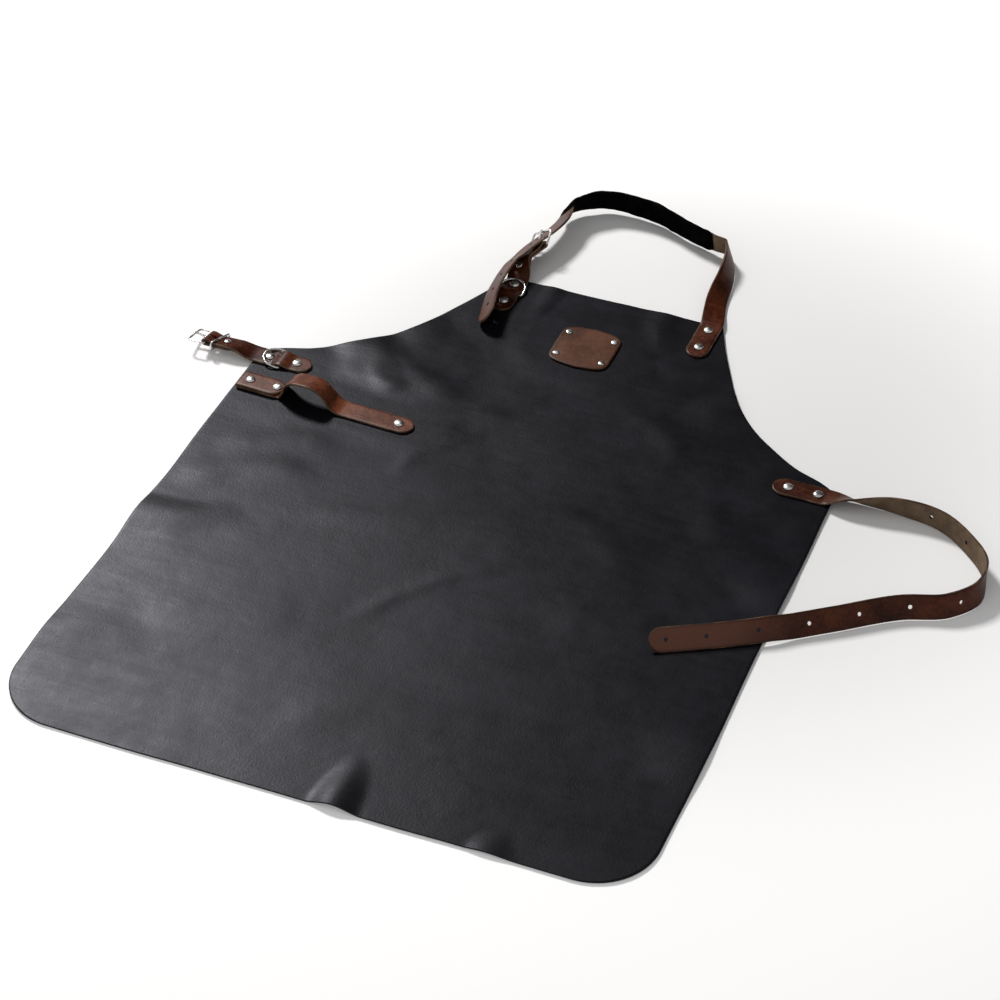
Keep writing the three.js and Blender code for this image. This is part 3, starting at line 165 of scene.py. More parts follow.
# Materials
def new_material(name, color, roughness, metallic=0.0, specular=0.5):
    mat = bpy.data.materials.new(name)
    mat.use_nodes = True
    tree = mat.node_tree
    bsdf = tree.nodes["Principled BSDF"]
    bsdf.inputs["Base Color"].default_value = (*color, 1)
    bsdf.inputs["Roughness"].default_value = roughness
    bsdf.inputs["Metallic"].default_value = metallic
    bsdf.inputs["Specular IOR Level"].default_value = specular
    coords = tree.nodes.new("ShaderNodeTexCoord").outputs["Object"]

    def node(kind, inputs=None, **settings):
        made = tree.nodes.new(kind)
        for key, value in settings.items():
            setattr(made, key, value)
        for key, value in (inputs or {}).items():
            if isinstance(value, bpy.types.NodeSocket):
                tree.links.new(value, made.inputs[key])
            else:
                made.inputs[key].default_value = value
        return made

    def noise(scale, detail=3.0, rough=0.55, warp=0.0, vector=None):
        return node("ShaderNodeTexNoise", {"Vector": vector or coords, "Scale": scale, "Detail": detail,
                                           "Roughness": rough, "Distortion": warp}).outputs["Fac"]

    def ramp(fac, low, high, to_low=0.0, to_high=1.0):
        ends = {"Value": fac, "From Min": low, "From Max": high, "To Min": to_low, "To Max": to_high}
        return node("ShaderNodeMapRange", ends, interpolation_type="SMOOTHSTEP").outputs["Result"]

    def mix(fac, a, b):
        made = node("ShaderNodeMix", {"Factor": fac}, data_type="RGBA")
        for key, value in ((6, a), (7, b)):
            if isinstance(value, bpy.types.NodeSocket):
                tree.links.new(value, made.inputs[key])
            else:
                made.inputs[key].default_value = (*value, 1)
        return made.outputs[2]

    def math_node(kind, a, b=0.0):
        made = node("ShaderNodeMath", operation=kind)
        for key, value in ((0, a), (1, b)):
            if isinstance(value, bpy.types.NodeSocket):
                tree.links.new(value, made.inputs[key])
            else:
                made.inputs[key].default_value = value
        return made.outputs[0]

    def bump(layers):
        """Layers of height in mm, added one on another."""
        normal = None
        for height, size in layers:
            made = node("ShaderNodeBump", {"Height": height, "Distance": size * MM, "Strength": 1.0})
            if normal is not None:
                tree.links.new(normal, made.inputs["Normal"])
            normal = made.outputs["Normal"]
        tree.links.new(normal, bsdf.inputs["Normal"])

    def distance(place):
        return node("ShaderNodeVectorMath", {0: coords, 1: place}, operation="DISTANCE").outputs["Value"]

    def attribute(key):
        return node("ShaderNodeAttribute", attribute_name=key).outputs["Fac"]

    def link(value, key):
        tree.links.new(value, bsdf.inputs[key])

    return mat, dict(node=node, noise=noise, ramp=ramp, mix=mix, math=math_node, bump=bump,
                     distance=distance, attribute=attribute, link=link, coords=coords, bsdf=bsdf)


def black_leather():
    mat, t = new_material("black_leather", (0.006, 0.006, 0.007), 0.45, specular=0.14)
    t["bsdf"].inputs["Specular Tint"].default_value = (0.85, 0.865, 1.0, 1)
    cloudy = t["noise"](5.0, 4.0, 0.6, 0.4)
    mottle = t["noise"](38.0, 4.0, 0.65)
    fine = t["noise"](420.0, 3.0, 0.6)
    pores = t["node"]("ShaderNodeTexVoronoi", {"Vector": t["coords"], "Scale": 620.0}).outputs["Distance"]
    turned = t["node"]("ShaderNodeMapping", {"Vector": t["coords"], "Rotation": (0.0, 0.0, -0.62),
                                             "Scale": (0.11, 1.0, 1.0)})
    streaks = t["noise"](95.0, 4.0, 0.62, 0.5, turned.outputs[0])
    scratch = t["ramp"](t["noise"](230.0, 2.0, 0.5, 0.3, turned.outputs[0]), 0.66, 0.76)
    patches = t["math"]("ADD", t["math"]("MULTIPLY", cloudy, 0.6), t["math"]("MULTIPLY", mottle, 0.4))
    worn = t["ramp"](patches, 0.38, 0.66)
    t["link"](t["mix"](worn, (0.0017, 0.0017, 0.0027), (0.0042, 0.0043, 0.0064)), "Base Color")
    rough = t["ramp"](cloudy, 0.3, 0.7, 0.39, 0.42)
    rough = t["math"]("ADD", rough, t["ramp"](mottle, 0.3, 0.7, -0.015, 0.02))
    rough = t["math"]("ADD", rough, t["math"]("MULTIPLY", t["math"]("SUBTRACT", streaks, 0.5), 0.1))
    rough = t["math"]("SUBTRACT", rough, t["math"]("MULTIPLY", scratch, 0.05))
    t["link"](rough, "Roughness")
    t["bump"]([(mottle, 0.25), (streaks, 0.12), (fine, 0.09), (pores, 0.04)])
    return mat


def brown_leather(name, dark, light, rough=0.37, painted_sheen_end=None):
    """Smooth dyed leather; the end argument is a place and the lighter tone that the colour fades to there,
    a painted highlight that stands in for sheen.
    """
    mat, t = new_material(name, dark, rough, specular=0.16)
    cloudy = t["noise"](22.0, 4.0, 0.6, 0.3)
    grain = t["noise"](260.0, 4.0, 0.62)
    pores = t["node"]("ShaderNodeTexVoronoi", {"Vector": t["coords"], "Scale": 900.0}).outputs["Distance"]
    shade = t["math"]("ADD", t["math"]("MULTIPLY", cloudy, 0.65), t["math"]("MULTIPLY", grain, 0.35))
    color = t["mix"](t["ramp"](shade, 0.35, 0.68), dark, light)
    # Painted highlight: the colour lightens towards the given place, standing in for sheen on a strap's end.
    if painted_sheen_end is not None:
        place, tone = painted_sheen_end
        color = t["mix"](t["ramp"](t["distance"](place), 0.03, 0.15, 0.75, 0.0), color, tone)
    edge = t["attribute"]("edge")
    t["link"](t["mix"](t["math"]("MULTIPLY", edge, 0.55), color, tuple(c * 0.5 for c in dark)), "Base Color")
    t["link"](t["ramp"](shade, 0.3, 0.7, rough - 0.05, rough + 0.07), "Roughness")
    t["bump"]([(cloudy, 0.25), (grain, 0.09), (pores, 0.03)])
    return mat


def flesh_leather(name, dark, light, stain=0.0):
    mat, t = new_material(name, dark, 0.85, specular=0.25)
    fibre = t["noise"](700.0, 5.0, 0.7, 1.2)
    cloudy = t["noise"](60.0, 4.0, 0.65)
    shade = t["math"]("ADD", t["math"]("MULTIPLY", cloudy, 0.6), t["math"]("MULTIPLY", fibre, 0.4))
    color = t["mix"](t["ramp"](shade, 0.36, 0.66), dark, light)
    stained = t["ramp"](t["noise"](34.0, 3.0, 0.6), 0.42, 0.6)
    t["link"](t["mix"](t["math"]("MULTIPLY", stained, stain), color, (0.03, 0.012, 0.008)), "Base Color")
    t["bump"]([(cloudy, 0.12), (fibre, 0.22)])
    return mat


def pad_cloth():
    mat, t = new_material("pad_cloth", (0.002, 0.002, 0.002), 0.95, specular=0.015)
    nap = t["noise"](900.0, 4.0, 0.7)
    soft = t["noise"](70.0, 4.0, 0.6)
    color = t["mix"](t["ramp"](soft, 0.35, 0.65), (0.0007, 0.0006, 0.0007), (0.0024, 0.0022, 0.0023))
    t["link"](color, "Base Color")
    t["bump"]([(soft, 0.8), (nap, 0.15)])
    return mat


def steel():
    mat, t = new_material("steel", (0.72, 0.72, 0.71), 0.2, metallic=1.0)
    smear = t["noise"](160.0, 4.0, 0.6)
    spots = t["noise"](1100.0, 3.0, 0.6)
    t["link"](t["mix"](t["ramp"](smear, 0.4, 0.62), (0.6, 0.6, 0.59), (0.8, 0.8, 0.79)), "Base Color")
    t["link"](t["ramp"](smear, 0.3, 0.7, 0.22, 0.36), "Roughness")
    t["bump"]([(smear, 0.02), (spots, 0.006)])
    return mat


BLACK = black_leather()
BROWN = brown_leather("brown_leather", (0.021, 0.0033, 0.0007), (0.09, 0.022, 0.0078))
# Waist strap leather, a little darker than the brown leather; its free end gets a painted highlight that
# stands in for sheen.
WAIST_BROWN = brown_leather("waist_leather", (0.018, 0.0028, 0.0006), (0.08, 0.02, 0.007),
                            painted_sheen_end=((0.25, -0.09, 0.015), (0.15, 0.062, 0.04)))
# Lit copy of the brown leather for the tool loop: lighter than the straps' leather to paint on the light
# that falls on the loop, painted light.
LOOP_BROWN_PAINTED_LIGHT = brown_leather("loop_leather_painted_light", (0.045, 0.011, 0.004), (0.155, 0.046, 0.021))
PATCH_BROWN = brown_leather("patch_leather", (0.041, 0.0125, 0.0048), (0.09, 0.032, 0.0135), 0.46)
RAW_EDGE = flesh_leather("raw_edge", (0.06, 0.031, 0.018), (0.18, 0.11, 0.068), 0.8)
FLESH = flesh_leather("flesh_side", (0.09, 0.058, 0.035), (0.17, 0.115, 0.07))
BLACK_FLESH = flesh_leather("black_flesh_side", (0.02, 0.019, 0.019), (0.05, 0.048, 0.047))
PAD = pad_cloth()
STEEL = steel()

# Sizes shared with the solids, in mm
HALF_WIDTH, HALF_WAIST, HALF_BIB = 338.5, 334.0, 130.0
HEM_Y, WAIST_Y, BIB_Y = -424.0, 194.0, 424.0
CORNER, CROWN, FOLD_RISE, LENGTH = 66.0, 2.0, 10.0, 848.0
HALF_STRAP, THICK, CLEAR = 13.0, 2.6, 0.35
FOLDED_THICK = 2 * THICK + CLEAR
SEAT_LIFT, STRAP_SEAT, BAR_HEIGHT = 1.5, 3.85, 4.25
WAIST_TAB_Y, WAIST_RIVET_X, NECK_X, NECK_RIVET_Y = 183.0, 318.0, 117.0, 411.0
LOOP_X, LOOP_Y, PATCH_Y = -318.0, 134.0, 330.0
SHEET_THICK, RIM_DROP, PATCH_THICK = 2.0, 0.35, 2.2
CAP, SMALL_CAP = (5.5, 2.2), (4.0, 1.5)
HOLE_RADIUS, CUTTER_HALF = 2.2, 6.0

# The leather sheet
# Armhole: share of the way up from waist to bib, and share of the width between their edges
ARMHOLE = [(0.0, 1.0), (0.045, 0.92), (0.109, 0.745), (0.196, 0.6), (0.296, 0.457), (0.439, 0.3125),
           (0.674, 0.168), (0.86, 0.065), (1.0, 0.0)]
arm_curve, arm_length = smooth_rows(ARMHOLE)
ARM_TABLE = arm_curve(np.linspace(0, arm_length, 200))


def half_width(y):
    y = np.asarray(y, float)
    from_hem = y - HEM_Y
    corner = HALF_WIDTH - CORNER + np.sqrt(np.maximum(CORNER**2 - np.maximum(CORNER - from_hem, 0) ** 2, 0))
    side = np.clip((from_hem - CORNER) / (WAIST_Y - HEM_Y - CORNER), 0, 1)
    skirt = HALF_WIDTH + (HALF_WAIST - HALF_WIDTH) * side
    up = np.clip((y - WAIST_Y) / (BIB_Y - WAIST_Y), 0, 1)
    bib = HALF_BIB + (HALF_WAIST - HALF_BIB) * np.interp(up, ARM_TABLE[:, 0], ARM_TABLE[:, 1])
    return np.where(from_hem < CORNER, corner, np.where(y <= WAIST_Y, skirt, bib))


# Folds: place across and up as shares of the half width and the length, turn in degrees, half
# length and half width as shares of the length, and rise as a share of FOLD_RISE
FOLDS = [(0.112, -0.03, 100, 0.125, 0.036, 0.6), (0.58, -0.01, 95, 0.06, 0.032, 0.2),
         (-1.0, 0.375, 12, 0.16, 0.045, 0.26), (-1.0, 0.14, 8, 0.15, 0.06, 0.22),
         (1.0, 0.52, 170, 0.09, 0.06, 0.2), (1.0, 0.22, 175, 0.09, 0.06, 0.2),
         (-0.235, 1.0, 90, 0.11, 0.034, 0.32), (0.2, 1.0, 95, 0.12, 0.05, 0.25),
         (-0.7, 0.79, -50, 0.13, 0.045, 0.3), (-0.5, 0.84, -42, 0.12, 0.045, 0.16),
         (0.6, 0.86, 215, 0.1, 0.045, 0.25)]
LOOP_TURN = math.radians(-2.2)
# Seats: from x, y to x, y, and how far from that line the sheet lies flat, in mm
SEATS = [(-NECK_X, 361, -NECK_X, BIB_Y, 13), (NECK_X, 361, NECK_X, BIB_Y, 13),
         (-HALF_WAIST, WAIST_TAB_Y, -285, WAIST_TAB_Y, 13),
         (HALF_WAIST, WAIST_TAB_Y, 285, WAIST_TAB_Y, 13), (LOOP_X, LOOP_Y, -121, LOOP_Y, 13),
         (-17, PATCH_Y, 17, PATCH_Y, 36)]
# Flat margin round a seat, and the width over which the folds come back, in mm
SEAT_MARGIN, SEAT_FADE = 14, 34


def seat_share(x, y):
    best = np.zeros_like(x)
    for x0, y0, x1, y1, reach in SEATS:
        dx, dy = x1 - x0, y1 - y0
        near = np.clip(((x - x0) * dx + (y - y0) * dy) / (dx * dx + dy * dy), 0, 1)
        away = np.hypot(x - x0 - near * dx, y - y0 - near * dy) - reach - SEAT_MARGIN
        best = np.maximum(best, 1 - smooth(away, 0, SEAT_FADE))
    return best


def broad_folds(x, y):
    total = np.zeros_like(x)
    drift, sway = 9 * wave(x, y, 70, 31), 7 * wave(x, y, 45, 32)
    for fx, fy, turn, long, wide, rise in FOLDS:
        dx, dy = x - fx * HALF_WIDTH + drift, y - HEM_Y - fy * LENGTH + sway
        c, s = math.cos(math.radians(turn)), math.sin(math.radians(turn))
        far = ((dx * c + dy * s) / (long * LENGTH)) ** 2 + ((dy * c - dx * s) / (wide * LENGTH)) ** 2
        total += np.where(far < 1, rise * FOLD_RISE * (1 - np.minimum(far, 1)) ** 2, 0)
    return total


# Raised creases: start, end, half width and height in mm, lower towards both ends
CREASES = [((-190, -60), (90, 60), 17, 0.55), ((-60, -170), (60, -30), 12, 0.7),
           ((-110, 60), (-60, 150), 11, 0.7), ((-300, 40), (-190, 70), 22, 1.1),
           ((-325, -20), (-200, 15), 20, 1.2), ((-250, 215), (-170, 150), 20, 1.6),
           ((-215, 225), (-120, 165), 18, 1.4), ((-130, 120), (-40, 190), 14, 0.8),
           ((60, 60), (180, 10), 22, 0.7), ((130, -110), (230, -60), 24, 0.8),
           ((90, 250), (160, 190), 18, 0.9), ((-60, -330), (60, -260), 26, 0.8),
           ((-240, -250), (-120, -190), 30, 0.9), ((200, 120), (300, 60), 22, 0.8),
           ((-228, 246), (-92, 200), 24, 2.8), ((-215, 205), (-160, 190), 12, 0.8)]


def fine_folds(x, y):
    total = 0.55 * (wave(x, y, 150, 1) + 1) + 0.28 * (wave(x, y, 62, 2) + 1) + 0.07 * (wave(x, y, 24, 3) + 1)
    for (x0, y0), (x1, y1), wide, high in CREASES:
        dx, dy = x1 - x0, y1 - y0
        length = math.hypot(dx, dy)
        along = ((x - x0) * dx + (y - y0) * dy) / length**2
        bend = 9 * np.sin(along * 4.1 + x0) + 2.5 * wave(x, y, 40, 5)
        aside = ((y - y0) * dx - (x - x0) * dy) / length + bend
        ends = smooth(along, -0.15, 0.25) * (1 - smooth(along, 0.75, 1.15))
        total = total + high * ends * np.exp(-((aside / wide) ** 2))
    return total


def underside(x, y):
    seat = seat_share(x, y)
    return broad_folds(x, y) * (1 - seat) + SEAT_LIFT * seat


# Waves of the left edge: place along it, half length and size, in mm
EDGE_WAVES = [(-114, 60, -1.8), (-314, 60, -1.6), (-39, 45, 2.0), (-164, 45, 1.6)]


def edge_wobble(x, y):
    """Sideways drift of the sheet's long edges, in mm."""
    share = np.clip(np.abs(x) / HALF_WIDTH, 0, 1) ** 6
    left = sum(size * np.exp(-(((y - place) / reach) ** 2)) for place, reach, size in EDGE_WAVES)
    right = 1.0 * np.sin(y / 47.0)
    return share * np.where(x < 0, left, right) * (1 - seat_share(x, y))


def apron_sheet():
    columns = 230
    count = 300
    u = np.linspace(-1, 1, columns + 1)
    u = np.sign(u) * (1 - (1 - np.abs(u)) ** 1.15)
    corner = HEM_Y + CORNER * (1 - np.cos(np.linspace(0, math.pi / 2, 26)[:-1]))
    rest = np.linspace(HEM_Y + CORNER, BIB_Y, count)
    rows = np.concatenate([corner, rest])
    hw = half_width(rows)
    X = u[None, :] * hw[:, None]
    share = smooth(rows, WAIST_Y, BIB_Y)[:, None]
    Y = rows[:, None] + CROWN * share * (1 - u[None, :] ** 2)
    # the cut edge is never quite straight
    X = X + edge_wobble(X, Y)
    hem = 1 - smooth(Y, HEM_Y, HEM_Y + 90)
    Y = Y + hem * (1.6 * wave(X, 0 * X, 90, 7)) + share**4 * 1.2 * wave(X, 0 * X, 60, 8)
    low = underside(X, Y) + fine_folds(X, Y) * (1 - seat_share(X, Y))
    top = low + SHEET_THICK
    rim = np.minimum(1, (1 - np.abs(u)[None, :] + 0 * Y) * 400)
    top = top - RIM_DROP * (1 - rim)
    n, m = X.shape
    points = np.concatenate([np.stack([X, Y, height], -1).reshape(-1, 3) for height in (low, top)])
    i, j = np.meshgrid(np.arange(n - 1), np.arange(m - 1), indexing="ij")
    a = (i * m + j).ravel()
    quads_low = np.stack([a, a + m, a + m + 1, a + 1], -1)
    quads_top = np.stack([a, a + 1, a + m + 1, a + m], -1) + n * m
    ring = (list(range(m)) + [i * m + m - 1 for i in range(1, n)]
            + [(n - 1) * m + j for j in range(m - 2, -1, -1)] + [i * m for i in range(n - 2, 0, -1)])
    ring = np.array(ring)
    after = np.roll(ring, -1)
    rim_faces = np.stack([ring, after, after + n * m, ring + n * m], -1)
    faces = np.concatenate([quads_top, quads_low, rim_faces])
    kinds = np.concatenate([np.zeros(len(quads_top)), np.ones(len(quads_low)), np.zeros(len(rim_faces))])
    sheet = make("apron_leather", points, faces.tolist(), [BLACK, BLACK_FLESH], replaces=["apron_body"],
                 kinds=kinds, smooth_angle=60)


apron_sheet()


# Straps
def steps_along(length, step, round_start=True, round_end=True):
    ends = HALF_STRAP * (1 - np.cos(np.linspace(0, math.pi / 2, 10)))
    start = ends if round_start else vec(0)
    end = (length - ends[::-1]) if round_end else vec(length)
    count = max(int(round((end[0] - start[-1]) / step)), 1)
    return np.concatenate([start, np.linspace(start[-1], end[0], count + 1)[1:-1], end])


def end_half(distance):
    short = np.maximum(HALF_STRAP - distance, 0)
    return np.maximum(np.sqrt(np.maximum(HALF_STRAP**2 - short**2, 0)), 0.05 * HALF_STRAP)


def strap_piece(name, centres, across, faces_dir, halves, smooth_side, flesh_side, cuts):
    """Strap with softly rounded edges; the face direction points out of its smooth side."""
    flat, turn = 10, 4
    bevel = 0.8
    half = THICK / 2
    section = []
    for k in range(flat + 1):
        section.append((-1 + 2 * k / flat, 0, 1, 0.0))
    for k in range(1, turn):
        a = math.pi / 2 - math.pi * k / turn
        section.append((1, math.cos(a), math.sin(a), 1.0))
    for k in range(flat + 1):
        section.append((1 - 2 * k / flat, 0, -1, 0.0))
    for k in range(1, turn):
        a = -math.pi / 2 - math.pi * k / turn
        section.append((-1, math.cos(a), math.sin(a), 1.0))
    sides = len(section)
    points, edge = [], []
    for c, w, f, h in zip(centres, across, faces_dir, halves):
        inner = max(h - bevel, 0.4 * h)
        out = h - inner
        for a, b, n, e in section:
            height = half * n
            rim = abs(a) > 0.999 and b == 0
            sunk = 0.12 * np.sign(n) if rim else 0
            points.append(c + w * (a * inner + (out * b)) + f * (height - sunk))
            edge.append(1.0 if rim or e else smooth(abs(a) * inner, inner - 3.0, inner) * 0.8)
    rings = len(centres)
    faces = [tuple(reversed(q)) for q in tube_faces(rings, sides, False)]
    kinds = []
    for _ in range(rings - 1):
        for k in range(sides):
            kinds.append(0 if k < flat else 1 if k < flat + turn else 2 if k < 2 * flat + turn else 1)
    faces.append(list(range(sides)))
    faces.append(list(reversed(range((rings - 1) * sides, rings * sides))))
    kinds += [1, 1]
    piece = make(name + "_leather", points, faces, [smooth_side, RAW_EDGE, flesh_side], replaces=[name],
                 kinds=kinds, extra={"edge": edge})
    bpy.context.view_layer.update()
    if cuts:
        cut(piece, cuts)


# How far outside the sheet's edge a strap starts down to the floor and reaches it, in mm
DROP_START, DROP_END = 4, 30


def floor_at(x, y):
    outside = np.maximum(np.maximum(np.abs(x) - half_width(y), y - BIB_Y), HEM_Y - y)
    over = 1 - smooth(outside, DROP_START, DROP_END)
    return CLEAR + over * (underside(x, y) + SHEET_THICK)


TAB_LENGTH = 50.0


def long_strap(anchor, ahead, aside, rows, free):
    tab = TAB_LENGTH
    rows = np.array(rows, float)
    scaled = rows * vec(free, free, 1, 1)
    curve, _ = smooth_rows(np.concatenate([[[-tab, 0, 0, 0]], scaled]))
    reach = tab + np.hypot(np.diff(scaled[:, 0]), np.diff(scaled[:, 1])).sum()
    knots = np.linspace(0, reach, 1601)
    track = curve(knots)
    flat = knots <= tab
    track[flat] = np.stack([knots[flat] - tab, 0 * knots[flat], 0 * knots[flat], 0 * knots[flat]], -1)
    edge = anchor + track[:, :1] * ahead + track[:, 1:2] * aside
    tilt = np.radians(track[:, 3])
    lift = track[:, 2] * 2 * HALF_STRAP
    edge[:, 2] = floor_at(edge[:, 0], edge[:, 1]) + lift + THICK / 2 * np.abs(np.cos(tilt))
    slope = np.zeros_like(edge)
    slope[1:-1] = edge[2:] - edge[:-2]
    slope[0], slope[-1] = edge[1] - edge[0], edge[-1] - edge[-2]
    handed = np.sign(np.cross(ahead, aside)[2])
    heading = unit(slope * vec(1, 1, 0))
    side = np.stack([-heading[:, 1], heading[:, 0], 0 * tilt], -1) * handed
    across = side * np.cos(tilt)[:, None] + UP * np.sin(tilt)[:, None]
    centre = edge + across * HALF_STRAP
    face = unit(np.cross(unit(slope), across) * handed)
    run = np.concatenate([[0], np.cumsum(np.linalg.norm(np.diff(centre, axis=0), axis=1))])

    def at(r):
        mix = lambda table: np.stack([np.interp(r, run, table[:, k]) for k in range(3)], -1)
        return mix(centre), unit(mix(across)), unit(mix(face))
    return at, run[-1]


# Routes of the long straps: ahead and aside as shares of the free length, lift in strap widths,
# and lean in degrees
WAIST_ROWS = [(0, 0, 0, 0), (0.013, 0, 0, 0), (0.0665, 0.005, 0, 41), (0.142, 0.009, 0, 79),
              (0.218, 0.0235, 0, 92), (0.278, 0.066, 0, 96), (0.3225, 0.1225, 0, 94),
              (0.3314, 0.181, 0, 73), (0.2947, 0.234, 0, 62), (0.2235, 0.2685, 0, 54),
              (0.1305, 0.337, 0, 51), (0.008, 0.425, 0, 45), (-0.1323, 0.506, 0, 42)]
NECK_ROWS = [(0, 0, 0, 0), (0.013, 0, 0, 0), (0.093, 0.018, 0.03, 32), (0.168, 0.03, 0.06, 54),
             (0.216, 0.047, 0.12, 69), (0.2355, 0.06, 0.18, 75), (0.239, 0.087, 0.21, 79),
             (0.2575, 0.146, 0.21, 80), (0.2935, 0.2425, 0.21, 82), (0.288, 0.34, 0.26, 74),
             (0.241, 0.388, 0.34, 59), (0.192, 0.394, 0.42, 39), (0.149, 0.402, 0.46, 36),
             (0.104, 0.417, 0.44, 37), (0.043, 0.43, 0.32, 42), (-0.0379, 0.431, 0.2, 48),
             (-0.1458, 0.412, 0.1, 50)]
WAIST_FREE, NECK_FREE = 609.0, 623.0
waist_anchor = vec(WAIST_RIVET_X, WAIST_TAB_Y + HALF_STRAP, 0)
neck_anchor = vec(NECK_X + HALF_STRAP, NECK_RIVET_Y, 0)
waist_at, waist_length = long_strap(waist_anchor, vec(1, 0, 0), vec(0, -1, 0), WAIST_ROWS, WAIST_FREE)
neck_at, neck_length = long_strap(neck_anchor, vec(0, 1, 0), vec(-1, 0, 0), NECK_ROWS, NECK_FREE)


def hole_cuts(at, runs):
    cuts = []
    for r in runs:
        centre, _, face = at(vec(r))
        cuts.append((centre[0], face[0], HOLE_RADIUS, CUTTER_HALF, 0 * centre[0]))
    return cuts


def long_piece(name, at, length, cuts, leather):
    runs = steps_along(length, 3.0)
    centre, across, face = at(runs)
    halves = end_half(np.minimum(runs, length - runs))
    ripple = 0.25 * wave(runs, 0 * runs, 38, 4)
    strap_piece(name, centre + face * ripple[:, None], across, face, halves, leather, FLESH, cuts)


WAIST_END_HOLE, WAIST_FIRST_HOLE, WAIST_HOLE_STEP, NECK_HOLE_STEP = 17, 58, 53, 28
NECK_BUCKLE_RUN, TONGUE_HOLE = 497.0, 9
waist_holes = [waist_length - WAIST_END_HOLE]
waist_holes += [waist_length - WAIST_FIRST_HOLE - WAIST_HOLE_STEP * i for i in range(9)]
long_piece("waist_strap", waist_at, waist_length, hole_cuts(waist_at, waist_holes), WAIST_BROWN)
neck_holes = [neck_length - NECK_HOLE_STEP - NECK_HOLE_STEP * i for i in range(4)]
neck_holes.append(NECK_BUCKLE_RUN + TONGUE_HOLE)
long_piece("neck_strap", neck_at, neck_length, hole_cuts(neck_at, neck_holes), BROWN)


# Frames for the folded straps and the metal
def moved(f, ahead=0.0, across=0.0, face=0.0):
    o, a, c, n = f
    return o + a * ahead + c * across + n * face, a, c, n


def pitched(f, degrees):
    o, a, c, n = f
    t = math.radians(degrees)
    return o, a * math.cos(t) + n * math.sin(t), c, n * math.cos(t) - a * math.sin(t)


def rolled(f, degrees):
    o, a, c, n = f
    t = math.radians(degrees)
    return o, a, c * math.cos(t) - n * math.sin(t), n * math.cos(t) + c * math.sin(t)


RIVET_NEAR, RIVET_FAR, RING_BAR, FOLD_RADIUS = 17.0, 50.0, 33.5, 2.95
BUCKLE_OUT, FOLD_CLIMB, HUMP_HALF, HUMP_RISE = 74, 26, 13, 3.12
BUCKLE_REACH, BUCKLE_HALF, WIRE_RADIUS = 19.0, 16.3, 1.3
RING_HALF, RING_REACH, RING_BEND, RING_REST = 15.1, 23.0, 2.6, 11
WIRE_SIDES, CORNER_STEPS = 14, 7
waist_tab = (vec(-WAIST_RIVET_X + RIVET_FAR, WAIST_TAB_Y, STRAP_SEAT), vec(-1, 0, 0), vec(0, 1, 0), UP)
waist_bar = RIVET_FAR + BUCKLE_OUT
waist_buckle = rolled(moved(waist_tab, waist_bar, 0, BAR_HEIGHT + 3), 14)
nc, na, nf = (v[0] for v in neck_at(vec(NECK_BUCKLE_RUN)))
neck_drop = THICK / 2 + CLEAR + THICK + CLEAR + WIRE_RADIUS
neck_buckle = (nc - nf * neck_drop, unit(np.cross(nf, na)), na, nf)
neck_tab = (vec(-NECK_X, NECK_RIVET_Y - RIVET_FAR, STRAP_SEAT), vec(0, 1, 0), vec(1, 0, 0), UP)
neck_bar = RIVET_FAR + BUCKLE_OUT
neck_pitch = math.degrees(math.asin((neck_drop + THICK / 2 + CLEAR + WIRE_RADIUS + 2) / BUCKLE_REACH))


def resting_tongue(pitch):
    return pitch + math.degrees(math.asin((WIRE_RADIUS + CLEAR + 1.1) / BUCKLE_REACH))


def folded_profile(bar, back):
    layer = THICK / 2
    settled, top = layer + THICK + CLEAR, BAR_HEIGHT + FOLD_RADIUS
    start = max(bar - back - FOLD_CLIMB, RIVET_FAR + CAP[0])
    line = [(r, layer) for r in steps_along(start, 3.0, True, False) if abs(r - RING_BAR) > HUMP_HALF]
    for off in np.linspace(-HUMP_HALF, HUMP_HALF, 19):
        line.append((RING_BAR + off, layer + HUMP_RISE * (1 + math.cos(math.pi * off / HUMP_HALF)) / 2))
    line.sort()
    for r in np.linspace(start, bar, 36):
        lift, ease = float(smooth(r, start, bar - back - 2)), 1 - float(smooth(bar - r, 0, 13))
        line.append((r, layer + (settled - layer) * lift + (top - settled) * ease))
    for angle in np.linspace(0, math.pi, 17)[1:]:
        line.append((bar + FOLD_RADIUS * math.sin(angle), BAR_HEIGHT + FOLD_RADIUS * math.cos(angle)))
    line += [(bar - r, layer) for r in steps_along(back, 3.0, False, True)[1:]]
    return np.array(line)


def strap_frames(tab, buckle, bar, straight):
    start, end = RIVET_FAR + CAP[0], bar - straight
    s, e = moved(tab, start), moved(buckle, end - bar, 0, -BAR_HEIGHT)
    reach = np.linalg.norm(e[0] - s[0])
    p = [s[0], s[0] + tab[1] * reach * 0.42, e[0] - buckle[1] * reach / 3, e[0]]

    def at(run):
        if run <= start:
            return moved(tab, run)
        if run >= end:
            return moved(buckle, run - bar, 0, -BAR_HEIGHT)
        t = (run - start) / (end - start)
        o = (1 - t)**3 * p[0] + 3 * (1 - t)**2 * t * p[1] + 3 * (1 - t) * t * t * p[2] + t**3 * p[3]
        d = 3 * (1 - t)**2 * (p[1] - p[0]) + 6 * (1 - t) * t * (p[2] - p[1]) + 3 * t * t * (p[3] - p[2])
        d = unit(d)
        w = float(smooth(t, 0.2, 1))
        c = tab[2] * (1 - w) + buckle[2] * w
        c = unit(c - d * (c @ d))
        return o, d, c, np.cross(c, d)
    return at


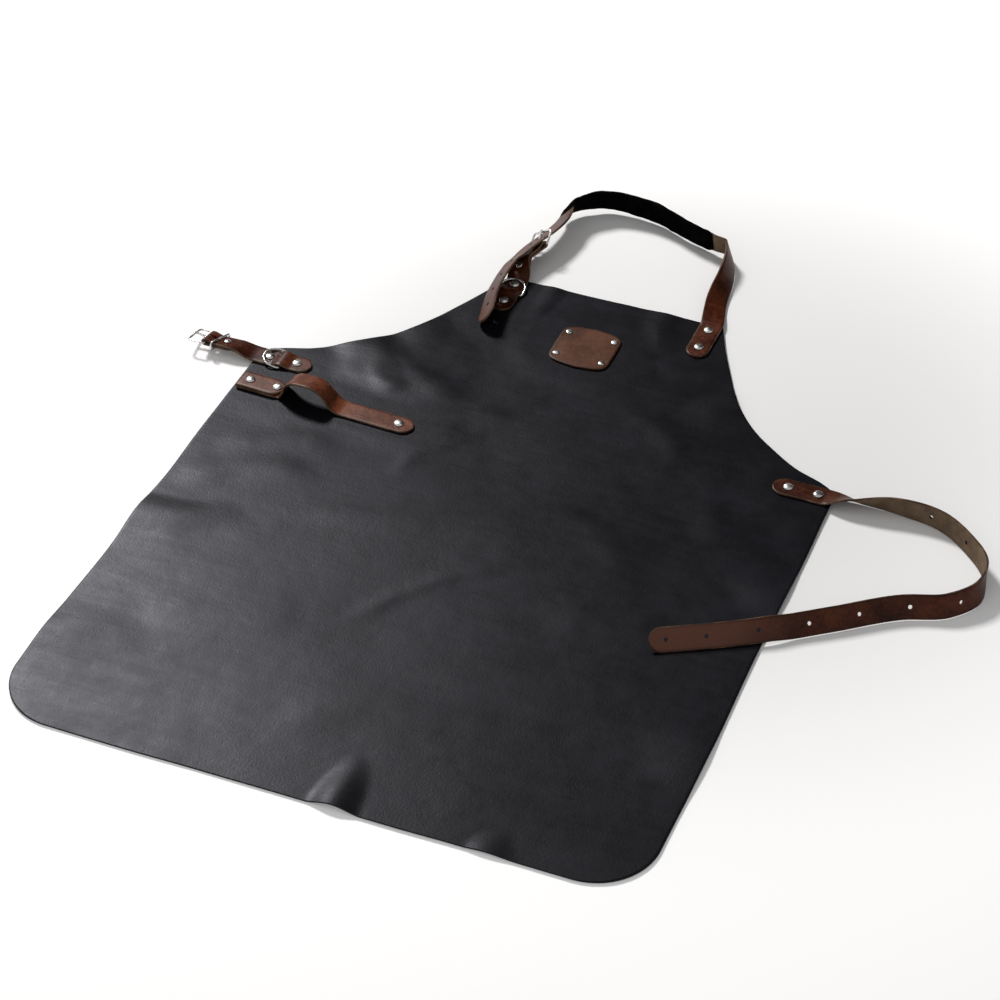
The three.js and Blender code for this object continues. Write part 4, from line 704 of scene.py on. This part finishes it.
def profile_piece(name, profile, frame_at, smooth_side, flesh_side, cuts, shear=None):
    centres = np.array([moved(frame_at(r), 0, 0, h)[0] for r, h in profile])
    across = np.array([frame_at(r)[2] for r, _ in profile])
    runs = np.concatenate([[0], np.cumsum(np.linalg.norm(np.diff(profile, axis=0), axis=1))])
    along = np.zeros_like(centres)
    along[1:-1] = centres[2:] - centres[:-2]
    along[0], along[-1] = centres[1] - centres[0], centres[-1] - centres[-2]
    if shear is not None:
        across = unit(across + UP * shear[:, None])
    face = unit(np.cross(across, unit(along)))
    halves = end_half(np.minimum(runs, runs[-1] - runs))
    strap_piece(name, centres, across, face, halves, smooth_side, flesh_side, cuts)


def rivet(name, base, axis, stack, radius, rise):
    """Pressed rivet with a domed cap, a small rolled rim and a back cap."""
    seat = stack + CLEAR
    profile = [(0, -1.15), (radius * 0.8, -1.15), (radius * 0.85, -1.0), (radius * 0.85, -0.4), (1.6, -0.35),
               (1.6, seat), (radius * 0.96, seat - 0.1), (radius, seat + 0.25), (radius * 0.98, seat + 0.5),
               (radius * 0.9, seat + rise * 0.52), (radius * 0.74, seat + rise * 0.76),
               (radius * 0.5, seat + rise * 0.93), (radius * 0.25, seat + rise * 0.985), (0, seat + rise)]
    sides = 28
    axis = unit(np.asarray(axis, float))
    side = unit(np.cross(axis, vec(0.3, 0.2, 0.05) if abs(axis[2]) > 0.9 else UP))
    up = np.cross(axis, side)
    points = [base + axis * profile[0][1]]
    for r, h in profile[1:-1]:
        for k in range(sides):
            a = 2 * math.pi * k / sides
            points.append(base + axis * h + r * (math.cos(a) * side + math.sin(a) * up))
    points.append(base + axis * profile[-1][1])
    faces = [(0, 1 + (k + 1) % sides, 1 + k) for k in range(sides)]
    faces += [tuple(v + 1 for v in q) for q in tube_faces(len(profile) - 2, sides, False)]
    last, start = len(points) - 1, len(points) - 1 - sides
    faces += [(last, start + k, start + (k + 1) % sides) for k in range(sides)]
    make(name + "_metal", points, faces, [STEEL], replaces=[name], smooth_angle=75)


def wire(name, centres, face, radius, body, replaces):
    """Closed loop of round wire."""
    centres = np.asarray(centres)
    count = len(centres)
    along = unit(np.roll(centres, -1, 0) - np.roll(centres, 1, 0))
    out = unit(np.cross(along, face))
    up = unit(np.cross(out, along))
    points = []
    for i in range(count):
        for k in range(WIRE_SIDES):
            a = 2 * math.pi * k / WIRE_SIDES
            points.append(centres[i] + out[i] * radius * math.cos(a) + up[i] * radius * math.sin(a))
    faces = tube_faces(count, WIRE_SIDES, True)
    obj = make(name, points, faces, [STEEL], body=body, replaces=replaces, smooth_angle=60)
    fix_normals(obj)


def fix_normals(obj):
    bm = bmesh.new()
    bm.from_mesh(obj.data)
    bmesh.ops.recalc_face_normals(bm, faces=bm.faces)
    bm.to_mesh(obj.data)
    bm.free()


def rounded(corners, radius):
    """Closed outline with rounded corners, evenly filled in between."""
    out = []
    n = len(corners)
    for i, corner in enumerate(corners):
        c, p, q = np.array(corner), np.array(corners[i - 1]), np.array(corners[(i + 1) % n])
        b, a = unit(p - c), unit(q - c)
        middle = c + (b + a) * radius[i]
        for k in range(CORNER_STEPS + 1):
            t = k / CORNER_STEPS * math.pi / 2
            out.append(middle - a * radius[i] * math.cos(t) - b * radius[i] * math.sin(t))
    return np.array(out)


def place(outline, f):
    o, a, c, _ = f
    return np.array([o + a * p + c * q for p, q in outline])


def d_ring(name, f, body):
    half, turn = RING_HALF, RING_BEND
    arc = [(RING_REACH - half + half * math.sin(t), half * math.cos(t)) for t in np.linspace(0, math.pi, 25)]
    bend = [(turn - turn * math.sin(t), half - turn + turn * math.cos(t))
            for t in np.linspace(math.pi / 2, 0, 6)]
    outline = [(0, q) for q in np.linspace(-half + 3.4, half - 3.4, 6)] + bend
    outline += [(6, half)] + arc + [(6, -half)]
    outline += [(p, -q) for p, q in reversed(bend)]
    f = pitched(f, RING_REST)
    wire(name + "_metal", place(outline, f), f[3], WIRE_RADIUS, body, [name])


def buckle(side, f, pitch, tongue_pitch, frame_body, tongue_body):
    half = BUCKLE_HALF
    outline = rounded([(0, -half), (0, half), (BUCKLE_REACH, half), (BUCKLE_REACH, -half)],
                      [3, 3, 4.5, 4.5])
    g = pitched(f, pitch)
    wire(side + "_buckle_frame_metal", place(outline, g), g[3], WIRE_RADIUS, frame_body,
         [side + "_buckle_frame"])
    g = pitched(f, tongue_pitch)
    o, a, c, n = g
    # flat bar: an eye round the frame's bar, then a straight tapered tongue
    turns = np.linspace(math.radians(330), math.radians(40), 22)
    line = [(2.4 * math.cos(t), 2.4 * math.sin(t), 0.6) for t in turns]
    line += [(3.6, 0.55, 0.75)] + [(x, 0.0, 0.98 - 0.12 * x / 22) for x in np.linspace(5.0, 19.5, 10)]
    line += [(21, -0.1, 0.8), (21.9, -0.25, 0.45)]
    points, sides = [], 12
    centres = np.array([o + a * x + n * z for x, z, _ in line])
    along = np.gradient(centres, axis=0)
    up = unit(np.cross(np.broadcast_to(c, along.shape), unit(along)))
    for i in range(len(line)):
        for k in range(sides):
            t = 2 * math.pi * k / sides
            w = 1.75 * (1 if line[i][0] < 19 else max(0.4, 1 - (line[i][0] - 19) / 5))
            sx = math.copysign(abs(math.cos(t)) ** 0.55, math.cos(t))
            sy = math.copysign(abs(math.sin(t)) ** 0.7, math.sin(t))
            points.append(centres[i] + c * w * sx + up[i] * line[i][2] * 1.1 * sy)
    faces = tube_faces(len(line), sides, False)
    faces += [list(reversed(range(sides))), list(range((len(line) - 1) * sides, len(line) * sides))]
    tongue = make(side + "_buckle_tongue_metal", points, faces, [STEEL], body=tongue_body,
                  replaces=[side + "_buckle_tongue"], smooth_angle=50)
    fix_normals(tongue)


# Buckle straps: side, tab, buckle, run of the bar, and length of the fold, rivet and straight part before it
BUCKLE_STRAPS = [("waist", waist_tab, waist_buckle, waist_bar, 34, 22, 20),
                 ("neck", neck_tab, neck_buckle, neck_bar, 51, 42.5, 24)]
for side, tab, buck, bar, back, rivet_back, straight in BUCKLE_STRAPS:
    at = strap_frames(tab, buck, bar, straight)
    fold = at(bar - rivet_back)
    slot_points = [(buck[0], buck[3], 2.3, 18, buck[1] * 7.5)]
    profile_piece(side + "_buckle_strap", folded_profile(bar, back), at, BROWN, FLESH, slot_points)
    for i, r in enumerate((RIVET_NEAR, RIVET_FAR)):
        base = moved(tab, r, 0, -CLEAR - SHEET_THICK)[0]
        rivet(f"{side}_buckle_rivet_{i + 1}", base, UP, SHEET_THICK + CLEAR + THICK, *CAP)
    rivet(side + "_fold_rivet", fold[0], fold[3], FOLDED_THICK, *SMALL_CAP)
    d_ring(side + "_d_ring", moved(tab, RING_BAR, 0, WIRE_RADIUS), side + "_ring")
buckle("waist", waist_buckle, 0, resting_tongue(0), "waist_frame", "waist_tongue")
buckle("neck", neck_buckle, neck_pitch, resting_tongue(neck_pitch), "apron", "apron")

KEEPER_TURN, KEEPER_BACK, KEEPER_WIRE, KEEPER_GAP, KEEPER_SLACK = 12, -13, 1.2, 0.56, 3.0
yaw = math.radians(KEEPER_TURN)
keeper_across = waist_buckle[2] * math.cos(yaw) - waist_buckle[1] * math.sin(yaw)
keeper_half = HALF_STRAP / math.cos(yaw) + CLEAR + KEEPER_SLACK
keeper_rise = (FOLDED_THICK + 2 * KEEPER_WIRE) / 2 + KEEPER_GAP
keeper_middle = moved(waist_buckle, KEEPER_BACK, 0, FOLDED_THICK / 2 - BAR_HEIGHT)[0]
keeper_frame = (keeper_middle, waist_buckle[3], keeper_across, np.cross(keeper_across, waist_buckle[3]))
keeper_line = rounded([(-keeper_rise, -keeper_half), (-keeper_rise, keeper_half), (keeper_rise, keeper_half),
                       (keeper_rise, -keeper_half)], [2.4] * 4)
wire("waist_keeper_metal", place(keeper_line, keeper_frame), keeper_frame[3], KEEPER_WIRE, "apron",
     ["waist_keeper"])

for name, at in (("waist_strap", waist_at), ("neck_strap", neck_at)):
    for i, r in enumerate((RIVET_NEAR, RIVET_FAR)):
        x, y, _ = at(vec(r))[0][0]
        rivet(f"{name}_rivet_{i + 1}", vec(x, y, SEAT_LIFT), UP, SHEET_THICK + CLEAR + THICK, *CAP)

# Soft pad on the neck strap
PAD_START, PAD_LENGTH, PAD_HALF, PAD_RISE = 217.0, 211.0, 15.0, 3.4
# The sleeve turns in at both ends, to this half width and half thickness
MOUTH_IN, MOUTH_HALF, MOUTH_RISE = 2.5, 13.6, 1.9


def neck_pad():
    start, length = PAD_START, PAD_LENGTH
    count, sides = 150, 40
    points = []
    for i in range(count):
        s = i / (count - 1)
        run = start + length * s
        c, w, f = (v[0] for v in neck_at(vec(run)))
        close = min(s, 1 - s) * length
        swell = 0.82 + 0.18 * float(smooth(close, 0, 9))
        for k in range(sides):
            t = 2 * math.pi * k / sides
            cx, cy = math.cos(t), math.sin(t)
            across = math.copysign(abs(cx) ** 0.5, cx) * PAD_HALF
            depth = math.copysign(abs(cy) ** 0.75, cy) * PAD_RISE
            lump = 0.9 * wave(run, 22 * t, 17, 12) + 0.5 * wave(run, 40 * t, 8, 13)
            lump = lump + 0.9 * wave(run, 0, 30, 14) * cx
            fold = 0.6 * math.sin(run / 4.3 + 1.6 * wave(run, 9 * t, 26, 15)) * abs(cy)
            out = w * (across + 0.7 * lump * cx) * swell
            points.append(c + out + f * (depth + (0.8 * lump + fold) * cy) * swell)
    faces = tube_faces(count, sides, False)
    for i, run in ((0, start + MOUTH_IN), (count - 1, start + length - MOUTH_IN)):
        c, w, f = (v[0] for v in neck_at(vec(run)))
        base = len(points)
        for k in range(sides):
            t = 2 * math.pi * k / sides
            cx, cy = math.cos(t), math.sin(t)
            out = w * math.copysign(abs(cx) ** 0.4, cx) * MOUTH_HALF
            points.append(c + out + f * math.copysign(abs(cy) ** 0.6, cy) * MOUTH_RISE)
        for k in range(sides):
            after = (k + 1) % sides
            faces.append((i * sides + k, i * sides + after, base + after, base + k))
    pad = make("neck_pad_cloth", points, faces, [PAD], replaces=["neck_pad"],
               smooth_angle=0)
    fix_normals(pad)


neck_pad()

# Loop for a towel or a tool
LOOP_REACH, LOOP_HEIGHT, LOOP_TAIL, LOOP_END_RUN, LOOP_LEAN = 60, 24, 96, 33.0, 0.12
# Arch of the loop: ahead as a share of LOOP_REACH and height as a share of LOOP_HEIGHT
ARCH = [(-0.02, 0.0), (0.06, 0.3), (0.12, 0.64), (0.26, 0.93), (0.46, 1.0), (0.68, 0.97),
        (0.82, 0.8), (0.93, 0.5), (1.03, 0.2), (1.16, 0.03), (1.3, 0.0)]
c2, s2 = math.cos(LOOP_TURN), math.sin(LOOP_TURN)
loop_frame = (vec(LOOP_X, LOOP_Y, STRAP_SEAT), vec(c2, s2, 0), vec(s2, -c2, 0), UP)


def loop_profile():
    layer, turn = THICK / 2, (THICK + CLEAR) / 2
    end_run, loop_end, arch_start = 41.0, 10.0, 41.0
    line = [(end_run - r, layer + 2 * turn) for r in steps_along(end_run + loop_end, 3.0, True, False)]
    for i in range(1, 10):
        a = i / 10 * math.pi
        line.append((-loop_end - turn * math.sin(a), layer + turn + turn * math.cos(a)))
    line += [(-loop_end + 43.0 * i / 14, layer) for i in range(15)]
    scaled = [(r * LOOP_REACH, h * LOOP_HEIGHT) for r, h in ARCH]
    curve, length = smooth_rows(scaled)
    for r, h in curve(np.linspace(0, length, 60)):
        line.append((arch_start + r, layer + h))
    flat_start, flat_end = arch_start + ARCH[-1][0] * LOOP_REACH, arch_start + LOOP_REACH + LOOP_TAIL
    line += [(flat_start + r, layer) for r in steps_along(flat_end - flat_start, 3.0, False)[1:]]
    return np.array(line)


loop_line = loop_profile()
rise = np.clip((loop_line[:, 1] - 4.3) / 22, 0, 1) * (loop_line[:, 0] > 40)
# Rivets of the loop: run along it and thickness of strap under the cap
LOOP_RIVETS = [(0.0, FOLDED_THICK), (LOOP_END_RUN, FOLDED_THICK), (180.0, THICK)]
# The loop uses the lighter copy of the brown leather, with painted light.
profile_piece("tool_loop", loop_line, lambda r: moved(loop_frame, r), LOOP_BROWN_PAINTED_LIGHT, LOOP_BROWN_PAINTED_LIGHT, (),
              shear=LOOP_LEAN * smooth(rise, 0, 0.6))
for i, (r, layers) in enumerate(LOOP_RIVETS):
    base = moved(loop_frame, r, 0, -CLEAR - SHEET_THICK)[0]
    rivet(f"tool_rivet_{i + 1}", base, UP, SHEET_THICK + CLEAR + layers, *CAP)

# Patch
PATCH_RIVET_X, PATCH_RIVET_Y = 27, 20.5
PATCH_WIDE, PATCH_TAPER, PATCH_HIGH, PATCH_BULGE = 34.9, 2.2, 29.0, 7.0


def patch():
    t = np.linspace(0, 2 * math.pi, 240, endpoint=False)
    sq = lambda v: np.sign(v) * np.abs(v) ** 0.15
    x, y = sq(np.cos(t)), sq(np.sin(t))
    px = x * (PATCH_WIDE - PATCH_TAPER * np.abs(y) ** 4)
    py = y * (PATCH_HIGH + PATCH_BULGE * (1 - x**2))
    rings = [0.0001] + list(np.linspace(0.06, 0.94, 22)) + [0.965, 0.985, 0.996, 1.0]
    points, edge = [], []
    for s in rings:
        drop = 0.55 * float(smooth(s, 0.955, 1.0)) ** 2
        X, Y = px * s, py * s
        near = np.zeros_like(X)
        for sx in (-PATCH_RIVET_X, PATCH_RIVET_X):
            for sy in (-PATCH_RIVET_Y, PATCH_RIVET_Y):
                near += np.exp(-(((X - sx) ** 2 + (Y - sy) ** 2) / 40))
        z = STRAP_SEAT + PATCH_THICK - drop + 0.12 * wave(X, Y, 14, 21) - 0.35 * near + 0.25
        points += list(np.stack([X, Y + PATCH_Y, z], -1))
        edge += [float(smooth(s, 0.9, 1.0))] * len(t)
    points += list(np.stack([px, py + PATCH_Y, 0 * px + STRAP_SEAT + 0.2], -1))
    edge += [1.0] * len(t)
    points += list(np.stack([px * 0.98, py * 0.98 + PATCH_Y, 0 * px + STRAP_SEAT], -1))
    edge += [1.0] * len(t)
    faces = tube_faces(len(rings) + 2, len(t), False)
    faces.append(list(range((len(rings) + 1) * len(t), (len(rings) + 2) * len(t))))
    obj = make("patch_leather", points, faces, [PATCH_BROWN], replaces=["patch"],
               extra={"edge": edge}, smooth_angle=0)
    fix_normals(obj)


patch()
for i, (sx, sy) in enumerate([(-1, -1), (1, -1), (1, 1), (-1, 1)]):
    base = vec(sx * PATCH_RIVET_X, PATCH_Y + sy * PATCH_RIVET_Y, SEAT_LIFT)
    rivet(f"patch_rivet_{i + 1}", base, UP, SHEET_THICK + CLEAR + PATCH_THICK, *SMALL_CAP)

# Surface, light and camera
floor_mesh = bpy.data.meshes.new("floor")
floor_mesh.from_pydata([(-9, -9, 0), (9, -9, 0), (9, 9, 0), (-9, 9, 0)], [], [(0, 1, 2, 3)])
floor = bpy.data.objects.new("floor", floor_mesh)
floor.location.z = -0.0002
scene.collection.objects.link(floor)
floor_mat, t = new_material("floor", (0.86, 0.86, 0.86), 0.9, specular=0.1)
# Painted light and shade on the floor: it is darker near this place (painted shade) and lighter and glowing
# further away (painted light), in metres
SHADE_CENTRE = (0.08, 0.28, 0.0)
away = t["distance"](SHADE_CENTRE)
t["link"](t["mix"](t["ramp"](away, 0.15, 0.75), (0.72, 0.72, 0.72), (0.9, 0.9, 0.9)), "Base Color")
# Painted light: the floor glows further from the centre, though it is no lamp.
floor_mat.node_tree.links.new(t["ramp"](away, 0.25, 0.8, 0.0, 0.2), t["bsdf"].inputs["Emission Strength"])
t["bsdf"].inputs["Emission Color"].default_value = (1, 1, 1, 1)
floor_mesh.materials.append(floor_mat)

world = bpy.data.worlds.new("studio")
scene.world = world
world.use_nodes = True
sky = world.node_tree.nodes
background = sky["Background"]
background.inputs["Color"].default_value = (1.0, 0.99, 0.985, 1)
split = sky.new("ShaderNodeSeparateXYZ")
fade = sky.new("ShaderNodeMapRange")
fade.interpolation_type = "SMOOTHSTEP"
for key, value in (("From Min", -0.15), ("From Max", 0.75), ("To Min", 0.52), ("To Max", 0.02)):
    fade.inputs[key].default_value = value
world.node_tree.links.new(sky.new("ShaderNodeTexCoord").outputs["Generated"], split.inputs[0])
world.node_tree.links.new(split.outputs["Y"], fade.inputs["Value"])
world.node_tree.links.new(fade.outputs["Result"], background.inputs["Strength"])


def area(name, location, target, size, power, color):
    light = bpy.data.lights.new(name, "AREA")
    light.shape, light.size, light.size_y = "RECTANGLE", size[0], size[1]
    light.energy, light.color = power, color
    obj = bpy.data.objects.new(name, light)
    obj.location = location
    obj.rotation_mode = "QUATERNION"
    obj.rotation_quaternion = (Vector(location) - Vector(target)).to_track_quat("Z", "Y")
    scene.collection.objects.link(obj)


area("key", (-2.15, 1.95, 2.55), (0.0, 0.05, 0.0), (0.65, 0.65), 160.0, (1.0, 0.99, 0.98))

camera_data = bpy.data.cameras.new("camera")
camera = bpy.data.objects.new("camera", camera_data)
CAMERA_TARGET, CAMERA_BACK, CAMERA_DISTANCE = (0.0086, 0.0563, 0.0), (0.2877, -0.7103, 0.6425), 3.285
camera_data.lens, camera_data.sensor_width = 112.46, 36.0
back = Vector(CAMERA_BACK)
camera.location = Vector(CAMERA_TARGET) + back * CAMERA_DISTANCE
camera.rotation_mode = "QUATERNION"
camera.rotation_quaternion = back.to_track_quat("Z", "Y")
scene.collection.objects.link(camera)
scene.camera = camera
scene.view_settings.view_transform = "Standard"
